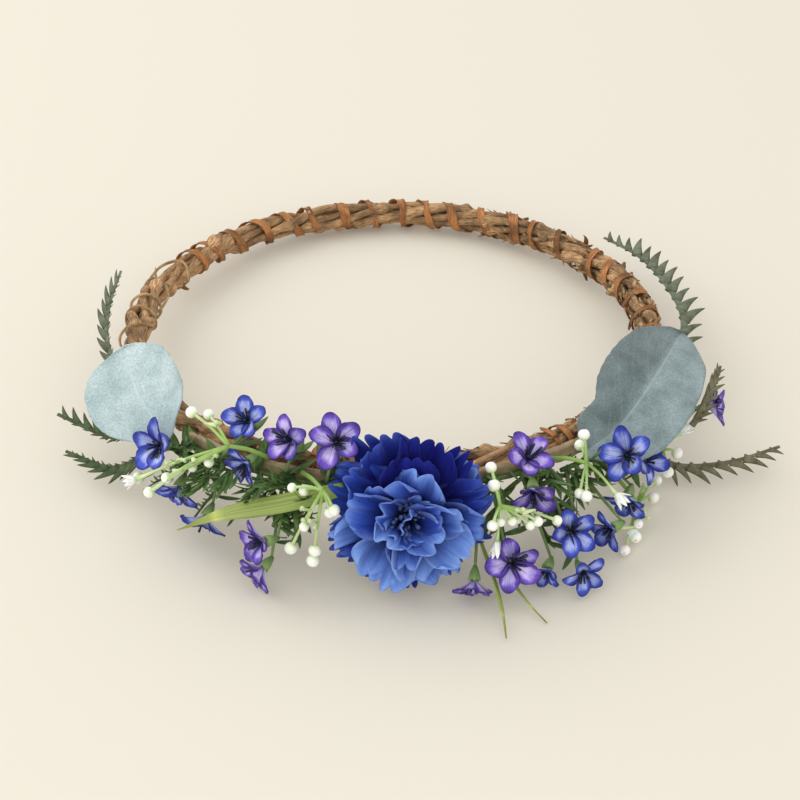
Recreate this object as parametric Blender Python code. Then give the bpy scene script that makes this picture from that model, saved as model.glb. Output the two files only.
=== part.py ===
"""Flower crown: a hoop of twisted vine, bound with bark strip, that carries artificial flowers and leaves.

The crown is modelled on its hoop and then set down as it rests on a table: the back of the hoop and the
lowest petals at the front touch the surface, so the hoop leans back a little. +Z is up, the flowers face
-Y, and the origin is the middle of the footprint, on the surface.

Everything on the hoop is placed by three distances in metres: along the hoop from its front centre
(positive to the right), outwards from its centre line, and up from its plane.
"""

import math

import bmesh
import bpy
from mathutils import Matrix, Vector

MM = 0.001
UP = Vector((0, 0, 1))

# Hoop: vine lengths twisted around a core length.
HOOP_RADIUS = 92 * MM
CORE_VINE_RADIUS = 1.3 * MM
OUTER_VINE_RADIUS = 1.5 * MM
OUTER_VINES = 5
VINE_TWISTS = 7
VINE_STEPS = 72
CLEARANCE = 0.35 * MM

# Bark strips and the tendril that bind the vines.
STRIP_WIDTH = 2.6 * MM
STRIP_THICKNESS = 0.6 * MM
STRIP_PITCH = 12.5 * MM
STRIP_STEPS_PER_TURN = 9
TENDRIL_RADIUS = 0.4 * MM
TENDRIL_PITCH = 8 * MM

# Glue beds on the outside of the hoop, and the stems that lie in them.
GLUE_THICKNESS = 1.6 * MM
GLUE_HEIGHT = 7 * MM
STEM_RADIUS = 0.8 * MM
TWIG_RADIUS = 0.55 * MM
BERRY_RADIUS = 1.9 * MM

# Leaves and petals.
LEAF_THICKNESS = 0.9 * MM
BLADE_THICKNESS = 0.7 * MM
PETAL_THICKNESS = 0.8 * MM
HUB_SHARE = 1.6
BLOOM_RADIUS = 26 * MM
BLOOM_PETAL_THICKNESS = 1.0 * MM

REST_TILT = math.radians(7.6)
SHARP_ANGLE = math.radians(40)

TWIST_RADIUS = CORE_VINE_RADIUS + OUTER_VINE_RADIUS + CLEARANCE
BUNDLE_RADIUS = TWIST_RADIUS + OUTER_VINE_RADIUS
# A strip is straight between its steps, so its corners stand off by the sagitta of one step.
STRIP_RADIUS = (BUNDLE_RADIUS + CLEARANCE) / math.cos(math.pi / STRIP_STEPS_PER_TURN)
BOUND_RADIUS = STRIP_RADIUS + STRIP_THICKNESS
GLUE_OUTSIDE = BOUND_RADIUS + CLEARANCE + GLUE_THICKNESS
STEM_OUT = GLUE_OUTSIDE + CLEARANCE + STEM_RADIUS

COLOURS = {
    "vine": (0.30, 0.17, 0.08, 0.85),
    "bark": (0.48, 0.24, 0.10, 0.75),
    "tendril": (0.55, 0.42, 0.25, 0.60),
    "glue": (0.85, 0.80, 0.62, 0.35),
    "stem": (0.16, 0.32, 0.08, 0.60),
    "sprig": (0.42, 0.60, 0.22, 0.50),
    "leaf": (0.47, 0.60, 0.58, 0.90),
    "fern": (0.25, 0.31, 0.21, 0.80),
    "grass": (0.45, 0.47, 0.15, 0.60),
    "bloom": (0.06, 0.14, 0.62, 0.80),
    "blue": (0.05, 0.07, 0.50, 0.65),
    "purple": (0.16, 0.06, 0.48, 0.65),
    "stamen": (0.02, 0.03, 0.10, 0.70),
}


# ---- Helpers ---------------------------------------------------------------------------------------


def on_hoop(along, out, up):
    """The point that lies this far along the hoop, out from its centre line and up from its plane, in mm."""
    angle = along * MM / HOOP_RADIUS
    reach = HOOP_RADIUS + out * MM
    return Vector((reach * math.sin(angle), -reach * math.cos(angle), up * MM))


def hoop_place(point):
    """The reverse of on_hoop."""
    reach = math.hypot(point.x, point.y)
    along = HOOP_RADIUS * math.atan2(point.x, -point.y)
    return along / MM, (reach - HOOP_RADIUS) / MM, point.z / MM


def facing(heading, rise):
    """A direction: degrees to the right of the crown's front, and degrees above level."""
    turn, lift = math.radians(heading), math.radians(rise)
    return Vector((math.sin(turn) * math.cos(lift), -math.cos(turn) * math.cos(lift), math.sin(lift)))


def paint(slot):
    """The plain material of one kind of piece."""
    found = bpy.data.materials.get(slot)
    if found:
        return found
    red, green, blue, roughness = COLOURS[slot]
    made = bpy.data.materials.new(slot)
    made.use_nodes = True
    shader = made.node_tree.nodes["Principled BSDF"]
    shader.inputs["Base Color"].default_value = (red, green, blue, 1)
    shader.inputs["Roughness"].default_value = roughness
    shader.inputs["Metallic"].default_value = 0
    return made


def add_piece(name, data, slot, crown, place=None):
    """One named solid on the crown. place is its matrix there, if its mesh is in its own frame."""
    data.materials.clear()
    data.materials.append(paint(slot))
    if isinstance(data, bpy.types.Mesh):
        data.shade_smooth()
        data.set_sharp_from_angle(angle=SHARP_ANGLE)
    piece = bpy.data.objects.new(name, data)
    bpy.context.scene.collection.objects.link(piece)
    piece.parent = crown
    if place is not None:
        piece.matrix_basis = place
    return piece


def smooth_path(points, per_span=3):
    """Points on a smooth curve through the given ones (Catmull-Rom)."""
    ends = [points[0] * 2 - points[1], *points, points[-1] * 2 - points[-2]]
    path = []
    for a, b, c, d in zip(ends, ends[1:], ends[2:], ends[3:]):
        for step in range(per_span):
            t = step / per_span
            bend = (2 * a - 5 * b + 4 * c - d) * t**2
            swing = (3 * b - a - 3 * c + d) * t**3
            path.append(0.5 * (2 * b + (c - a) * t + bend + swing))
    return [*path, points[-1]]


def tube_curve(name, path, radius, cyclic=False, detail=1):
    """A round tube along a path, as a curve with a bevel and filled caps."""
    curve = bpy.data.curves.new(name, "CURVE")
    curve.dimensions = "3D"
    curve.bevel_depth = radius
    curve.bevel_resolution = detail
    curve.use_fill_caps = not cyclic
    spline = curve.splines.new("POLY")
    spline.points.add(len(path) - 1)
    for number, point in enumerate(path):
        spline.points[number].co = (*point, 1)
    spline.use_cyclic_u = cyclic
    return curve


def mesh_of(data):
    """The plain mesh of a curve, with the doubles at its caps merged."""
    holder = bpy.data.objects.new("holder", data)
    bpy.context.scene.collection.objects.link(holder)
    graph = bpy.context.evaluated_depsgraph_get()
    mesh = bpy.data.meshes.new_from_object(holder.evaluated_get(graph))
    bpy.data.objects.remove(holder)
    work = bmesh.new()
    work.from_mesh(mesh)
    bmesh.ops.remove_doubles(work, verts=work.verts, dist=0.001 * MM)
    bmesh.ops.recalc_face_normals(work, faces=work.faces)
    work.to_mesh(mesh)
    work.free()
    return mesh


def tube_mesh(points, radius, per_span=3, detail=0):
    """A thin tube through a few points."""
    return mesh_of(tube_curve("tube", smooth_path(points, per_span), radius, detail=detail))


def loft(name, sections, cyclic=False):
    """A closed solid through sections that have the same number of points, capped at its ends."""
    work = bmesh.new()
    rings = [[work.verts.new(point) for point in section] for section in sections]
    pairs = list(zip(rings, rings[1:] + rings[:1])) if cyclic else list(zip(rings, rings[1:]))
    for first, second in pairs:
        for near, far in zip(range(len(first)), [*range(1, len(first)), 0]):
            work.faces.new((first[near], first[far], second[far], second[near]))
    if not cyclic:
        work.faces.new(reversed(rings[0]))
        work.faces.new(rings[-1])
    bmesh.ops.recalc_face_normals(work, faces=work.faces)
    bmesh.ops.triangulate(work, faces=work.faces)
    mesh = bpy.data.meshes.new(name)
    work.to_mesh(mesh)
    work.free()
    return mesh


def fuse(name, meshes):
    """One closed body from meshes that overlap."""
    holders = []
    for mesh in meshes:
        holder = bpy.data.objects.new("holder", mesh)
        bpy.context.scene.collection.objects.link(holder)
        holders.append(holder)
    base = holders[0]
    for other in holders[1:]:
        join = base.modifiers.new("join", "BOOLEAN")
        join.operation = "UNION"
        join.solver = "EXACT"
        join.object = other
    bpy.context.view_layer.update()
    graph = bpy.context.evaluated_depsgraph_get()
    whole = bpy.data.meshes.new_from_object(base.evaluated_get(graph))
    whole.name = name
    for holder in holders:
        bpy.data.objects.remove(holder)
    return whole


def frame_along(axis):
    """Axes whose Z is the given axis and whose Y leans upwards."""
    x = UP.cross(axis).normalized()
    return Matrix((x, axis.cross(x), axis)).transposed()


def placed(point, axis):
    """The matrix of a piece that starts at a point and faces along an axis."""
    return Matrix.Translation(point) @ frame_along(axis).to_4x4()


def ball(centre, radius):
    """A low-polygon berry."""
    work = bmesh.new()
    bmesh.ops.create_uvsphere(work, u_segments=7, v_segments=5, radius=radius)
    bmesh.ops.translate(work, verts=work.verts, vec=centre)
    mesh = bpy.data.meshes.new("ball")
    work.to_mesh(mesh)
    work.free()
    return mesh


# ---- Hoop ------------------------------------------------------------------------------------------


def around_bundle(angle, radius, turn):
    """A point at this angle round the hoop, at a radius from the bundle's centre line, turned about it."""
    reach = HOOP_RADIUS + radius * math.cos(turn)
    return Vector((reach * math.sin(angle), -reach * math.cos(angle), radius * math.sin(turn)))


def vine_path(radius, twists, phase):
    """A closed line that twists about the hoop's centre line."""
    angles = [math.tau * step / VINE_STEPS for step in range(VINE_STEPS)]
    return [around_bundle(angle, radius, twists * angle + phase) for angle in angles]


def add_vines(crown):
    core = tube_curve("vine_core", vine_path(0, 0, 0), CORE_VINE_RADIUS, cyclic=True)
    add_piece("vine_core", core, "vine", crown)
    for number in range(OUTER_VINES):
        path = vine_path(TWIST_RADIUS, VINE_TWISTS, math.tau * number / OUTER_VINES)
        name = f"vine_strand_{number + 1}"
        add_piece(name, tube_curve(name, path, OUTER_VINE_RADIUS, cyclic=True), "vine", crown)


def strip_sections(first_angle, last_angle):
    """Flat sections of a bark strip that winds about the bundle between two angles of the hoop."""
    turns = (last_angle - first_angle) * HOOP_RADIUS / STRIP_PITCH
    steps = round(turns * STRIP_STEPS_PER_TURN)
    sections = []
    for step in range(steps + 1):
        angle = first_angle + (last_angle - first_angle) * step / steps
        turn = -math.tau * step / STRIP_STEPS_PER_TURN
        half = STRIP_WIDTH / 2 / HOOP_RADIUS
        inner = [around_bundle(angle + side, STRIP_RADIUS, turn) for side in (-half, half)]
        outer = [around_bundle(angle + side, BOUND_RADIUS, turn) for side in (half, -half)]
        sections.append(inner + outer)
    return sections


def add_bindings(crown):
    """Three bark strips over the bare part of the hoop, and a thin tendril at the left where they stop."""
    spans = {"bark_strip_right": (76, 128), "bark_strip_back": (130, 184), "bark_strip_left": (186, 240)}
    for name, (first, last) in spans.items():
        mesh = loft(name, strip_sections(math.radians(first), math.radians(last)))
        add_piece(name, mesh, "bark", crown)
    first, last = math.radians(243), math.radians(272)
    turns = (last - first) * HOOP_RADIUS / TENDRIL_PITCH
    steps = round(turns * STRIP_STEPS_PER_TURN)
    radius = STRIP_RADIUS + TENDRIL_RADIUS
    path = []
    for step in range(steps + 1):
        angle = first + (last - first) * step / steps
        path.append(around_bundle(angle, radius, math.tau * step / STRIP_STEPS_PER_TURN))
    curve = tube_curve("tendril_tie", path, TENDRIL_RADIUS, detail=0)
    add_piece("tendril_tie", mesh_of(curve), "tendril", crown)


def add_glue(crown):
    """Two beds of hot glue on the outer face of the hoop, under the stems."""
    beds = {"glue_bed_left": (-70, 0), "glue_bed_right": (2, 66)}
    inside, outside = (BOUND_RADIUS + CLEARANCE) / MM, GLUE_OUTSIDE / MM
    half = GLUE_HEIGHT / MM / 2
    for name, (first, last) in beds.items():
        steps = max(2, round((last - first) / 8))
        sections = []
        for step in range(steps + 1):
            along = first + (last - first) * step / steps
            corners = ((inside, -half), (outside, -0.7 * half), (outside, 0.7 * half), (inside, half))
            sections.append([on_hoop(along, out, up) for out, up in corners])
        add_piece(name, loft(name, sections), "glue", crown)


# ---- Leaves ----------------------------------------------------------------------------------------


def blade_mesh(name, spine, half_widths, normal, thickness, cup=0.0, forward=None):
    """A thin leaf along a spine. cup lifts its edges, and forward sweeps them on along the spine."""
    sections = []
    for number, (point, half) in enumerate(zip(spine, half_widths)):
        ahead = spine[min(number + 1, len(spine) - 1)] - spine[max(number - 1, 0)]
        side = ahead.cross(normal).normalized()
        face = side.cross(ahead).normalized()
        sweep = ahead.normalized() * (forward[number] if forward else 0)
        lift = face * cup * half
        top = face * thickness / 2
        left, right = point - side * half + sweep + lift, point + side * half + sweep + lift
        sections.append([left - top, point - top, right - top, right + top, point + top, left + top])
    return loft(name, sections)


def add_broad_leaves(crown):
    """Two felted eucalyptus-like leaves that stand up at the ends of the flowers."""
    left = [(-74, 13, 0), (-81, 13, 5), (-91, 12.5, 11.5), (-104, 9, 19)]
    right = [(60, 12.2, 1), (74, 12.8, 4.6), (92, 12.2, 12), (119, 12.5, 15.5)]
    full_foot = (0.08, 0.38, 0.74)
    slim_foot = (0.06, 0.26, 0.54)
    blade = (0.94, 1.0, 0.96, 0.86, 0.64, 0.2)
    designs = {
        "broad_leaf_left": (left, 17.5, (-0.4, -0.55, 0.73), full_foot + blade),
        "broad_leaf_right": (right, 16.5, (0.2, -0.55, 0.81), slim_foot + blade),
    }
    for name, (route, half, normal, outline) in designs.items():
        spine = smooth_path([on_hoop(*point) for point in route], per_span=8)
        spine = spine[:: (len(spine) - 1) // (len(outline) - 1)]
        widths = [half * MM * share for share in outline]
        mesh = blade_mesh(name, spine, widths, Vector(normal), LEAF_THICKNESS, cup=0.12)
        add_piece(name, mesh, "leaf", crown)


def fern_mesh(name, route, half, teeth, normal):
    """A toothed leaf: every tooth is a narrow section and then a wide one that is swept forward."""
    path = smooth_path([on_hoop(*point) for point in route], per_span=12)
    stations = 2 * teeth + 1
    spine = [path[round(step * (len(path) - 1) / stations)] for step in range(stations + 1)]
    widths, sweeps = [], []
    for station in range(stations + 1):
        share = station / stations
        tooth = half * MM * math.sin(math.pi * (0.15 + 0.80 * share)) ** 0.7
        wide = station % 2 == 1 and station < stations
        widths.append(tooth if wide else 0.28 * tooth)
        sweeps.append(0.6 * tooth if wide else 0.0)
    return blade_mesh(name, spine, widths, Vector(normal), BLADE_THICKNESS, forward=sweeps)


def add_ferns(crown):
    """Toothed leaves that reach out past the flowers at both sides."""
    designs = {
        "fern_left_upper": (5.0, 9, (-0.5, -0.7, 0.5)),
        "fern_left_middle": (5.5, 6, (0, -0.6, 0.8)),
        "fern_left_lower": (5.0, 6, (0, -0.6, 0.8)),
        "fern_right_upper": (6.0, 13, (0.2, -0.6, 0.77)),
        "fern_right_lower": (5.0, 8, (0, -0.6, 0.8)),
        "fern_right_side": (3.2, 6, (0.2, -0.7, 0.6)),
    }
    routes = {
        "fern_left_upper": [(-112, 9.5, 1), (-128, 10.5, 7), (-140, 9, 14), (-148, 5, 23)],
        "fern_left_middle": [(-92, 10.5, -7), (-99, 19, -11), (-113, 32, -9)],
        "fern_left_lower": [(-86, 11, -11), (-91, 22, -18), (-102, 34, -15)],
        "fern_right_upper": [(122, 11, -2), (145, 13, 4), (168, 12, 5), (188, 12, 5), (206, 11, 4)],
        "fern_right_lower": [(91, 10.5, -13), (95, 22, -20), (102, 38, -19), (110, 52, -16)],
        "fern_right_side": [(97, 25.5, -4), (99, 28, 1), (103, 29.5, 8), (107, 30, 14)],
    }
    for name, (half, teeth, normal) in designs.items():
        route = routes[name]
        add_piece(name, fern_mesh(name, route, half, teeth, normal), "fern", crown)


def add_grass(crown):
    """A broad grass blade to the left of the bloom and two narrow ones under it."""
    long_route = [(-14, 13, 1), (-28, 20, -2), (-44, 28, -7), (-55, 34, -15)]
    front_route = [(24, 20, -17), (25, 30, -24), (25, 40, -31), (24, 49, -35.5)]
    short_route = [(28, 21, -21), (30, 30, -27.5), (32, 38, -32), (34, 46, -35)]
    designs = {
        "grass_blade_long": (long_route, 3.2, (0, -0.7, 0.7)),
        "grass_blade_front": (front_route, 1.8, (1, -0.3, 0.3)),
        "grass_blade_short": (short_route, 1.2, (1, -0.3, 0.3)),
    }
    outline = (0.5, 0.8, 0.95, 1.0, 0.95, 0.8, 0.5, 0.12)
    for name, (route, half, normal) in designs.items():
        path = smooth_path([on_hoop(*point) for point in route], per_span=7)
        spine = path[:: (len(path) - 1) // (len(outline) - 1)]
        widths = [half * MM * share for share in outline]
        mesh = blade_mesh(name, spine, widths, Vector(normal), BLADE_THICKNESS, cup=-0.15)
        add_piece(name, mesh, "grass", crown)


# ---- Flower heads ----------------------------------------------------------------------------------


def round_ring(height, radius, points):
    """A round ring of points about the Z axis."""
    angles = [math.tau * number / points for number in range(points)]
    return [Vector((radius * math.cos(angle), radius * math.sin(angle), height)) for angle in angles]


def turned(name, profile, points):
    """A solid of revolution about Z through (height, radius) pairs, with that many points round it."""
    return loft(name, [round_ring(height, radius, points) for height, radius in profile])


def cup_mesh(name, hub, reaches, depth, lobe, thickness, ruffle=0.0):
    """A ring of petals as one lobed cup, from a flat hub out to a rim.

    reaches has the length of each petal, lobe the outline of one petal as shares of its length, starting
    in the notch before it, and ruffle the height that is added to every second petal.
    """
    points = len(reaches) * len(lobe)

    def rim(height):
        ring = []
        for number in range(points):
            petal, place = divmod(number, len(lobe))
            reach = lobe[place] * (reaches[petal] if place else min(reaches[petal], reaches[petal - 1]))
            angle = math.tau * number / points
            rise = height + (ruffle if petal % 2 and place else 0)
            ring.append(Vector((reach * math.cos(angle), reach * math.sin(angle), rise)))
        return ring

    hub_top = round_ring(HUB_SHARE * thickness, hub * 0.9, points)
    return loft(name, [round_ring(0, hub, points), rim(depth), rim(depth + thickness), hub_top])


# Each flower: where the middle of its rim is, where it faces, its diameter and its colour.
FLOWERS = {
    "flower_left_1": ((-73, 21, 2), (-45, 25), 20, "blue"),
    "flower_left_2": ((-64, 22, -13), (-30, -35), 16, "blue"),
    "flower_left_3": ((-54, 24, -19), (-45, -45), 17, "blue"),
    "flower_left_4": ((-45, 15, 3), (-50, -15), 15, "blue"),
    "flower_left_5": ((-48, 6, 16), (-25, 45), 16, "blue"),
    "flower_left_6": ((-33, 9, 14), (-35, 30), 17, "purple"),
    "flower_left_7": ((-17, 10, 18), (-5, 45), 19, "purple"),
    "flower_left_8": ((-34, 33, -12), (-60, 5), 17, "purple"),
    "flower_left_9": ((-35, 30, -27), (-50, -30), 15, "purple"),
    "flower_right_1": ((40, 14, 9), (15, 55), 18, "purple"),
    "flower_right_2": ((38, 22, -3), (0, -15), 18, "purple"),
    "flower_right_3": ((46, 31, -14), (10, 30), 17, "blue"),
    "flower_right_4": ((65.5, 25, 4), (-20, 35), 19, "blue"),
    "flower_right_5": ((81, 22, -9), (50, 20), 16, "blue"),
    "flower_right_6": ((66, 26, -16), (-20, -25), 15, "blue"),
    "flower_right_7": ((56, 30, -19), (-55, -5), 15, "blue"),
    "flower_right_8": ((29, 34, -19), (10, 15), 20, "purple"),
    "flower_right_9": ((20, 30, -29), (-5, -50), 14, "purple"),
    "flower_right_10": ((38, 32, -27), (-20, -20), 12, "blue"),
    "flower_right_11": ((46, 40, -26), (20, -5), 15, "blue"),
    "flower_right_12": ((106, 31, -1), (80, 15), 15, "purple"),
}
FLOWER_DEPTH_SHARE = 0.30
FLOWER_HUB = 1.2 * MM
FLOWER_PETALS = 5
FLOWER_LOBE = (0.5, 0.92, 1.0, 0.92)
CALYX_LENGTH = 3.6 * MM


def flower_base(name):
    """The middle of the flower's back, and its axis."""
    place, face, diameter, _ = FLOWERS[name]
    axis = facing(*face)
    return on_hoop(*place) - axis * diameter * FLOWER_DEPTH_SHARE * MM, axis


def add_flowers(crown):
    for name, (_, _, diameter, slot) in FLOWERS.items():
        base, axis = flower_base(name)
        reaches = [diameter / 2 * MM] * FLOWER_PETALS
        depth = diameter * FLOWER_DEPTH_SHARE * MM
        mesh = cup_mesh(name, FLOWER_HUB, reaches, depth, FLOWER_LOBE, PETAL_THICKNESS)
        add_piece(name, mesh, slot, crown, placed(base, axis))


BLOOM_BASE = (4, 9.2, -7)
BLOOM_FACE = (2, 14)
BLOOM_HUB = 3.2 * MM
BLOOM_CALYX = 5 * MM
BLOOM_LOBE = (0.72, 0.98, 1.0)
BLOOM_RUFFLE = 2 * MM
# The outer petals from the right-hand one, anticlockwise as the bloom is seen from the front.
BLOOM_OUTER_PETALS = (29, 30, 31, 30, 29, 27, 27, 26, 25, 27, 28)


def add_bloom(crown):
    """The large centre bloom: a calyx, three nested rings of petals and a tuft of stamens."""
    axis = facing(*BLOOM_FACE)
    base = on_hoop(*BLOOM_BASE)
    profile = ((0, 2.2 * MM), (0.45 * BLOOM_CALYX, 5.5 * MM), (BLOOM_CALYX, 4.2 * MM))
    add_piece("bloom_calyx", turned("bloom_calyx", profile, 8), "stem", crown, placed(base, axis))
    start = BLOOM_CALYX + CLEARANCE
    rings = (
        ("bloom_petals_outer", [reach * MM for reach in BLOOM_OUTER_PETALS], 3 * MM),
        ("bloom_petals_middle", [BLOOM_RADIUS - 2 * MM] * 10, 10 * MM),
        ("bloom_petals_inner", [BLOOM_RADIUS - 11 * MM] * 8, 14 * MM),
    )
    for name, reaches, depth in rings:
        mesh = cup_mesh(name, BLOOM_HUB, reaches, depth, BLOOM_LOBE, BLOOM_PETAL_THICKNESS, BLOOM_RUFFLE)
        add_piece(name, mesh, "bloom", crown, placed(base + axis * start, axis))
        start += BLOOM_PETAL_THICKNESS * HUB_SHARE + CLEARANCE
    tuft = turned("bloom_stamens", ((0, 1.6 * MM), (9 * MM, 3.4 * MM)), 7)
    add_piece("bloom_stamens", tuft, "stamen", crown, placed(base + axis * start, axis))


# ---- Stems and sprigs ------------------------------------------------------------------------------


def calyx_mesh(base, axis):
    """The green cup that holds a flower, ending just under the flower's hub."""
    top = -CLEARANCE
    profile = ((top - CALYX_LENGTH, TWIG_RADIUS), (top - 1.2 * MM, 1.5 * MM), (top, FLOWER_HUB))
    mesh = turned("calyx", profile, 6)
    mesh.transform(placed(base, axis))
    return mesh


# Each moulded stem: where it starts and ends along the hoop, how high it lies, and the flowers it carries.
FLOWER_STEMS = {
    "flower_stem_far_left": ((-69, -53), -1, "flower_left", (1, 2, 3, 5)),
    "flower_stem_left": ((-44, -18), -1, "flower_left", (4, 6, 7, 8, 9)),
    "flower_stem_right": ((24, 50), -1, "flower_right", (1, 2, 3, 8, 9, 10)),
    "flower_stem_far_right": ((54, 94), -5, "flower_right", (4, 5, 6, 7, 11, 12)),
}
# How far a branch hangs where it passes under the right broad leaf.
BRANCH_SAG = {"flower_right_4": 4, "flower_right_12": 8}


def branch(root_along, up, end, sag=0):
    """A path from a main stem to a point. It swings out first, so that it passes clear of the hoop."""
    out = STEM_OUT / MM
    along, end_out, end_up = hoop_place(end)
    knee_out = max((out + end_out) / 2, out + 2.5)
    knee = on_hoop((root_along + along) / 2, knee_out, (up + end_up) / 2 - sag)
    return [on_hoop(root_along, out, up), knee, end]


def add_flower_stems(crown):
    """Moulded stems: one main stem in the glue, with a branch and a calyx for each flower."""
    for name, ((first, last), up, side, numbers) in FLOWER_STEMS.items():
        main = [on_hoop(first + (last - first) * step / 4, STEM_OUT / MM, up) for step in range(5)]
        meshes = [tube_mesh(main, STEM_RADIUS, per_span=1, detail=1)]
        for number in numbers:
            flower = f"{side}_{number}"
            base, axis = flower_base(flower)
            foot = base - axis * (CALYX_LENGTH * 0.9 + CLEARANCE)
            root_along = min(max(FLOWERS[flower][0][0], first + 2), last - 2)
            path = branch(root_along, up, foot, BRANCH_SAG.get(flower, 0))
            meshes.append(tube_mesh(path, TWIG_RADIUS, per_span=2))
            meshes.append(calyx_mesh(base, axis))
        add_piece(name, fuse(name, meshes), "stem", crown)


# Each berry sprig: its root, its fork and its berries.
BERRY_SPRIGS = {
    "berry_sprig_far_left": (
        (-37, 11, 7),
        (-45, 21, 15),
        ((-60, 17, 20), (-73, 28, -8), (-67, 30, -9), (-57, 22, 2), (-78, 23, -13)),
    ),
    "berry_sprig_left": (
        (-27, 11, 4),
        (-18, 24, 7),
        ((-27, 22, 5), (-16, 25, -1), (-26, 28, -15), (-20, 29, -18)),
    ),
    "berry_sprig_right": (
        (30, 11, 1),
        (27, 27, 1),
        ((27, 17, 10), (24, 31, -4), (30, 29, -5), (36, 32, -5), (42, 30, -8), (26, 29, -11)),
    ),
    "berry_sprig_far_right": (
        (48, 11, 3),
        (55, 21, 4),
        ((59, 30, -5), (51, 28, -4), (57, 16, 12)),
    ),
    "berry_sprig_right_end": (
        (88, 10, -8.5),
        (92, 18, -13),
        ((97, 21, -9), (94, 23, -14), (90, 20, -19)),
    ),
    "berry_sprig_right_low": (
        (70, 10, -9),
        (77, 20, -24),
        ((87, 20, -21), (83, 22, -25), (67, 29, -27), (62, 32, -29)),
    ),
}


def add_berry_sprigs(crown):
    """Pale moulded sprigs: a stem that ends in a knot, from which branches run to a few round berries."""
    for name, (root, fork, berries) in BERRY_SPRIGS.items():
        root, fork = on_hoop(*root), on_hoop(*fork)
        meshes = [ball(fork, STEM_RADIUS * 1.3)]
        meshes.append(tube_mesh([root, (root + fork) / 2 + UP * MM, fork], STEM_RADIUS * 0.8, per_span=1))
        for place in berries:
            berry = on_hoop(*place)
            towards = (berry - fork).normalized()
            start = fork + towards * 0.4 * STEM_RADIUS
            middle = (start + berry) / 2 + UP * MM
            meshes.append(tube_mesh([start, middle, berry], TWIG_RADIUS, per_span=1))
            meshes.append(ball(berry, BERRY_RADIUS))
        add_piece(name, fuse(name, meshes), "sprig", crown)


# Each foliage stem: its ends along the hoop, how high it lies, and the root and tip of its leaves.
LEFT_LEAFLETS = ((-36, (-44, 22, -12)), (-52, (-60, 15, -20)), (-64, (-76, 18, -16)))
FOLIAGE_STEMS = {"foliage_left": ((-70, -28), -4.2, LEFT_LEAFLETS)}


def add_foliage(crown):
    """Narrow green leaves on a stem, between the hoop and the flowers."""
    for name, ((first, last), up, leaves) in FOLIAGE_STEMS.items():
        main = [on_hoop(first + (last - first) * step / 5, STEM_OUT / MM, up) for step in range(6)]
        meshes = [tube_mesh(main, STEM_RADIUS * 0.8, per_span=1)]
        for root_along, tip in leaves:
            spine = smooth_path(branch(root_along, up, on_hoop(*tip)), per_span=2)
            widths = [share * 2.2 * MM for share in (0.25, 0.8, 1, 0.7, 0.1)]
            meshes.append(blade_mesh("leaflet", spine, widths, Vector((0.2, -0.6, 0.8)), BLADE_THICKNESS))
        add_piece(name, fuse(name, meshes), "stem", crown)


# ---- Assembly --------------------------------------------------------------------------------------


def set_down(crown):
    """Leans the crown back as it rests, and puts the middle of its footprint on the origin."""
    crown.rotation_euler = (-REST_TILT, 0, 0)
    bpy.context.view_layer.update()
    graph = bpy.context.evaluated_depsgraph_get()
    low, high = Vector((1, 1, 1)), Vector((-1, -1, -1))
    for piece in crown.children:
        shown = piece.evaluated_get(graph)
        mesh = shown.to_mesh()
        for vertex in mesh.vertices:
            point = shown.matrix_world @ vertex.co
            low = Vector(map(min, low, point))
            high = Vector(map(max, high, point))
        shown.to_mesh_clear()
    crown.location = (-(low.x + high.x) / 2, -(low.y + high.y) / 2, -low.z)
    bpy.context.view_layer.update()


def main():
    for old in list(bpy.data.objects):
        bpy.data.objects.remove(old)
    crown = bpy.data.objects.new("crown", None)
    bpy.context.scene.collection.objects.link(crown)
    add_vines(crown)
    add_bindings(crown)
    add_glue(crown)
    add_broad_leaves(crown)
    add_ferns(crown)
    add_grass(crown)
    add_flowers(crown)
    add_bloom(crown)
    add_flower_stems(crown)
    add_berry_sprigs(crown)
    add_foliage(crown)
    set_down(crown)


main()
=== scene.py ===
import math
import random

import bmesh
import bpy
import numpy as np
from mathutils import Matrix, Vector, noise


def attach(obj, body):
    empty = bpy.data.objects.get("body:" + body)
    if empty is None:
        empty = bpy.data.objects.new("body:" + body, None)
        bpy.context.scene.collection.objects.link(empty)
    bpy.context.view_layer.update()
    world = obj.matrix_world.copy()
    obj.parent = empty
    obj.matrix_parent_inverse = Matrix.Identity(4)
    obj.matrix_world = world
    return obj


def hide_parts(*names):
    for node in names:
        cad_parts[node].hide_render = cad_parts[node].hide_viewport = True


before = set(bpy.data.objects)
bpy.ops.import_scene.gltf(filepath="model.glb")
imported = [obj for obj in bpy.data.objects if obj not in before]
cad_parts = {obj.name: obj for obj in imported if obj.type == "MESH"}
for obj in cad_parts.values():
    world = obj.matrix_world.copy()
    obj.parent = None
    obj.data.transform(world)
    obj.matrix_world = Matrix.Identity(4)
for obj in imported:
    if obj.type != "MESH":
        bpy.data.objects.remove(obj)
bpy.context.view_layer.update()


# ---- Vine hoop -------------------------------------------------------------------------------------
# Six lengths of thin wild vine, one as the core and five twisted round it, their ends tucked in. The
# vine is dry: dark brown outside, swollen at its nodes, cracked along its length, with short snags.

MM = 0.001
VINE_SIDES = 11
VINE_STEPS = 640
VINE_TWISTS = 7.0
VINE_RADII = (1.3, 1.75, 1.25, 1.6, 1.15, 1.5)
CORE_OFFSET, TWIST_RADIUS = 0.2 * MM, 2.95 * MM
VINE_DARK = (0.080, 0.042, 0.020, 1)
VINE_MID = (0.43, 0.265, 0.138, 1)
VINE_PALE = (0.70, 0.53, 0.33, 1)


def points_of(node):
    """The different points of a CAD node, as an array."""
    return np.unique(
        np.array([vertex.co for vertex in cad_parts[node].data.vertices]).round(6), axis=0,
    )


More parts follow.
